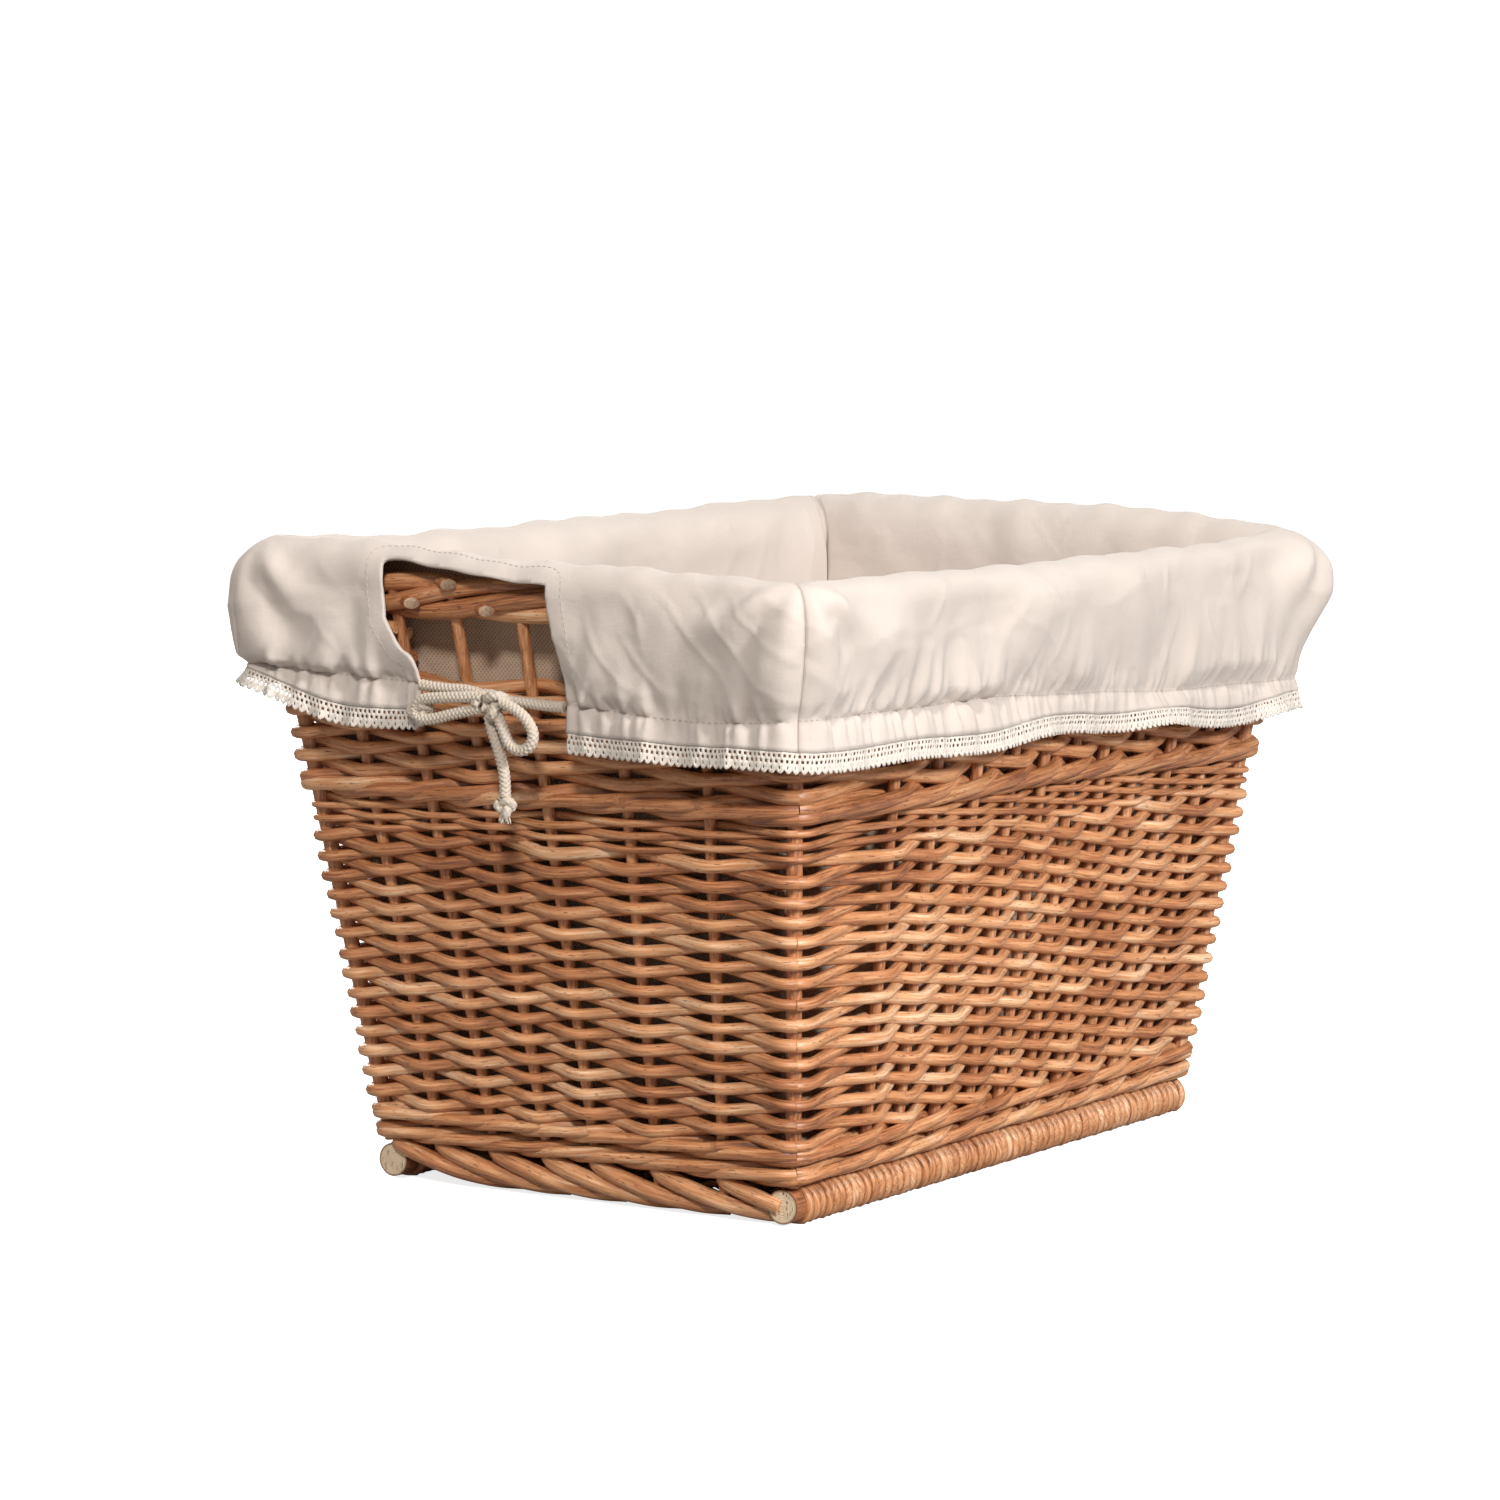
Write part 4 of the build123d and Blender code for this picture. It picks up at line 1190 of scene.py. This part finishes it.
# The floor of the bag: a rectangle with its corners drawn in, lifted a little by soft creases.
def bagFloor(s):
    a, b = np.meshgrid(np.linspace(-1, 1, 150), np.linspace(-1, 1, 90), indexing="ij")
    x = (s["floorLength"] - 0.3 * mm) * a * (1 - 0.02 * np.abs(b) ** 12)
    y = (s["floorWidth"] - 0.3 * mm) * b * (1 - 0.04 * np.abs(a) ** 12)
    crease = softNoise(x / (50 * mm) + 8, y / (50 * mm) + 8, 64, 97)
    edge = np.clip((1 - np.maximum(np.abs(a), np.abs(b))) / 0.06, 0, 1)
    z = s["floor"] + 0.3 * mm + edge * creased(crease, 2.2, 2) * 1.6 * mm
    bundle = Bundle()
    bundle.add(np.stack([x, y, z], -1).reshape(-1, 3), gridFaces(*a.shape),
               cloth=np.c_[x.ravel(), y.ravel() + 5])
    return bundle.finish("bag_floor", "liner", ["liner_bottom"], "liner_cotton", clothFinish, s["thick"])


facingSet = {"wide": 9 * mm, "behind": -1.0 * mm, "thick": 0.5 * mm, "seam": 8.2 * mm, "stitch": 2.4 * mm,
             "pitch": 3.3 * mm, "thread": 0.22 * mm, "above": linerSet["thick"] / 2 + 0.1 * mm,
             "step": 0.4 * mm}


# A line beside the cut-out's edge, `away` from it: the outline moved along its smoothed normals, and which
# of its points lie on the outside of the cuff.
def facingLine(side, away, step=1.2 * mm):
    outline, end = cutOutline(side)
    scale = np.array([end, 1.0])
    line = evenly(outline * scale, step)
    along = unit(np.gradient(line, axis=0))
    normal = np.stack([-along[:, 1], along[:, 0]], -1)
    smooth = normal.copy()
    for _ in range(4):
        smooth[1:-1] = (smooth[:-2] + 2 * smooth[1:-1] + smooth[2:]) / 4
    centre = line.mean(0)
    sign = np.sign(((line - centre) * normal).sum(1).sum())
    moved = line + sign * unit(smooth) * away
    keep = (moved[:, 1] < cuffDrop - 0.2 * mm) & (moved[:, 1] > crestTravel - 10 * mm)
    return moved / scale, keep


# The facing: a strip behind the cut-out's edge.
def facing(side, s):
    rows = [facingLine(side, a) for a in np.linspace(0.2 * mm, s["wide"], 6)]
    keep = rows[0][1]
    flat = np.stack([r[0][keep] for r in rows], 1)
    flat[..., 1] = np.clip(flat[..., 1], 0, cuffDrop)
    points = cuffPoint(side, flat[..., 0], flat[..., 1], s["behind"])
    bundle = Bundle()
    bundle.add(points.reshape(-1, 3), gridFaces(*flat.shape[:2]), cloth=flat.reshape(-1, 2))
    return bundle.finish("facing_" + side, "liner", [side + "_handle_facing"], "liner_cotton", clothFinish,
                         s["thick"])


# Stitches: short dashes along a line on the cloth, each a thin rod.
def stitches(bundle, line, s):
    line = evenly(line, s["step"])
    every, long = int(s["pitch"] / s["step"]), int(s["stitch"] / s["step"])
    for start in range(0, len(line) - long - 1, every):
        tube(bundle, line[start:start + long:2], s["thread"], sides=5, reference=(0.3, 0.2, 0.9))


clothPieces = {}
for side in allSides:
    clothPieces["cuff_" + side] = cuff(side)
    clothPieces["panel_" + side] = panel(side)
clothPieces["bag_floor"] = bagFloor(linerSet)
sewing = Bundle()
for side in endSides:
    clothPieces["facing_" + side] = facing(side, facingSet)
    line, keep = facingLine(side, facingSet["seam"], 0.5 * mm)
    stitches(sewing, cuffPoint(side, *line[keep].T, facingSet["above"]), facingSet)
for side in allSides:  # the seam of the drawn casing, which stops at a cut-out
    for ends in [(-1, 1)] if side in longSides else [(-1, -0.37), (0.22, 1)]:
        casing = cuffPoint(side, np.linspace(*ends, 500), gatherTravel, facingSet["above"])
        stitches(sewing, casing, facingSet)
seams = sewing.finish("seam_stitches", "liner", [], "liner_cotton", seamFinish)
print("stage: liner")

# ---- lace ----
laceSet = {"rows": (0.0, 1.2, 2.5, 3.7, 5.0, 6.4, 7.4, 8.8), "pierced": (1, 3), "cell": 0.62 * mm, "every": 4,
           "scallop": 6, "scallops": {-1: 1.9 * mm, -2: 0.9 * mm}, "thick": 0.6 * mm, "bead": 0.3 * mm,
           "slopeFrom": 4 * mm, "smooth": 30}


# The line that the lace hangs from: the travel along the hem, the hem's points and the smoothed slope of the
# cuff's last millimetres.
def laceLine(parts, s):
    hem, above = (np.concatenate([cuffPoint(side, np.linspace(*ends, 900), travel) for side, *ends in parts])
                  for travel in (cuffDrop, cuffDrop - s["slopeFrom"]))
    keep = np.concatenate([[True], np.linalg.norm(np.diff(hem, axis=0), axis=1) > 1e-6])
    hem, above = hem[keep], above[keep]
    down = unit(hem - above)
    for _ in range(s["smooth"]):
        down[1:-1] = unit((down[:-2] + down[1:-1] + down[2:]) / 3)
    return travelOf(hem), hem, down


# Lace: a band of small cells below the hem; in two rows two cells of every four are left out, the lowest rows
# follow scallops, and raised threads run along the rows.
def lace(name, node, parts, s):
    travel, hem, down = laceLine(parts, s)
    length = travel[-1]
    rows = len(s["rows"])
    columns = int(length / s["cell"])
    column, row = np.meshgrid(np.arange(columns), np.arange(rows), indexing="ij")
    place = column * length / (columns - 1)
    scallop = np.abs(np.sin(math.pi * column / s["scallop"]))
    below = np.array(s["rows"])[row] * mm
    for fromLast, deep in s["scallops"].items():
        below[:, fromLast] += (scallop[:, fromLast] - 0.5) * deep
    raised = s["bead"] * (np.where(row % 2 == 0, 1.0, 0.2) + 0.5 * np.sin(column * 2.1 + row))
    points = pathAt(place, travel, hem) + unit(pathAt(place, travel, down)) * below[..., None]
    outward = unit(np.cross(np.gradient(points, axis=0), np.gradient(points, axis=1)))
    points = points + outward * raised[..., None]
    faces = gridFaces(columns, rows)
    cellColumn, cellRow = np.divmod(np.arange(len(faces)), rows - 1)
    hole = np.isin(cellRow, s["pierced"]) & ((cellColumn + cellRow) % s["every"] < 2)
    picot = (cellRow == rows - 3) & (cellColumn % s["scallop"] == 2)
    faces = faces[~(hole | picot)]
    bundle = Bundle()
    bundle.add(points.reshape(-1, 3), faces)
    return bundle.finish(name, "liner", [node], "cotton_lace", laceFinish, s["thick"]), length


laces = {}
for side, before, after in (("front", "left", "right"), ("back", "right", "left")):
    laces[side] = lace("lace_" + side, side + "_lace", ((before, 0.2, 1), (side, -1, 1), (after, -1, -0.345)),
                       laceSet)
print("stage: lace")

# ---- the cloth pieces and their neighbours' node names, looked up and left unused ----
for side in allSides:
    long = side in longSides
    clothPieces["cuff_" + side]
    side + "_border"
    [seams] if side == "front" else []
    clothPieces["panel_" + side]
    side + "_border"
for side in endSides:
    clothPieces["facing_" + side]
    "liner_" + side + "_cuff"
for side, (piece, length) in laces.items():
    "liner_" + side + "_cuff"

# ---- floor and light ----
stageSet = {"reach": 12, "floor": (0.93, 0.93, 0.93), "cloud": (0.84, 0.84, 0.84), "floorGlow": 0.8,
            "bounce": (0.32, 0.31, 0.3), "glow": 0.26, "seen": 1.05, "aim": (0, 0, 0.15),
            "lights": (("key", (-0.75, -2.95, 1.65), 0.5, 106, (0.985, 0.99, 1.0)),
                       ("fill", (-2.5, -1.2, 2.2), 0.4, 64, (1.0, 0.96, 0.92)),
                       ("top", (0.3, 0.4, 2.8), 1.0, 14, (1.0, 1.0, 1.0)),
                       ("rear", (1.9, 2.7, 1.3), 1.2, 62, (1.0, 0.98, 0.96)))}


def makeStage(s):
    mesh = bpy.data.meshes.new("floor")
    mesh.from_pydata([(x * s["reach"], y * s["reach"], 0) for x, y in ((-1, -1), (1, -1), (1, 1), (-1, 1))],
                     [], [(0, 1, 2, 3)])
    f = Finish("studioFloor")
    colour = f.mix(f.noise(f.objectPlace(), 0.6, 1) * 0.04, s["floor"], s["cloud"])
    mesh.materials.append(f.surface(colour, 0.8, **{"Emission Color": (1, 1, 1, 1),
                                                    "Emission Strength": s["floorGlow"]}))
    f.twoWays(s["bounce"])
    placed("floor", mesh)
    world = bpy.data.worlds.new("studio")
    world.use_nodes = True
    nodes, links = world.node_tree.nodes, world.node_tree.links
    nodes["Background"].inputs[1].default_value = s["glow"]
    nodes["Background"].inputs[0].default_value = (1, 1, 1, 1)
    seen, blend, path = (nodes.new("ShaderNode" + kind) for kind in ("Background", "MixShader", "LightPath"))
    seen.inputs[0].default_value, seen.inputs[1].default_value = (1, 1, 1, 1), s["seen"]
    links.new(path.outputs["Is Camera Ray"], blend.inputs[0])
    links.new(nodes["Background"].outputs[0], blend.inputs[1])
    links.new(seen.outputs[0], blend.inputs[2])
    links.new(blend.outputs[0], nodes["World Output"].inputs[0])
    bpy.context.scene.world = world
    bpy.context.scene.view_settings.view_transform = "Standard"
    for name, place, size, power, colour in s["lights"]:
        lamp = bpy.data.lights.new(name, "AREA")
        lamp.size, lamp.energy, lamp.color = size, power, colour
        light = placed(name, lamp)
        light.location = place
        light.rotation_mode = "QUATERNION"
        light.rotation_quaternion = (Vector(place) - Vector(s["aim"])).to_track_quat("Z", "Y")


makeStage(stageSet)
print("stage: done")
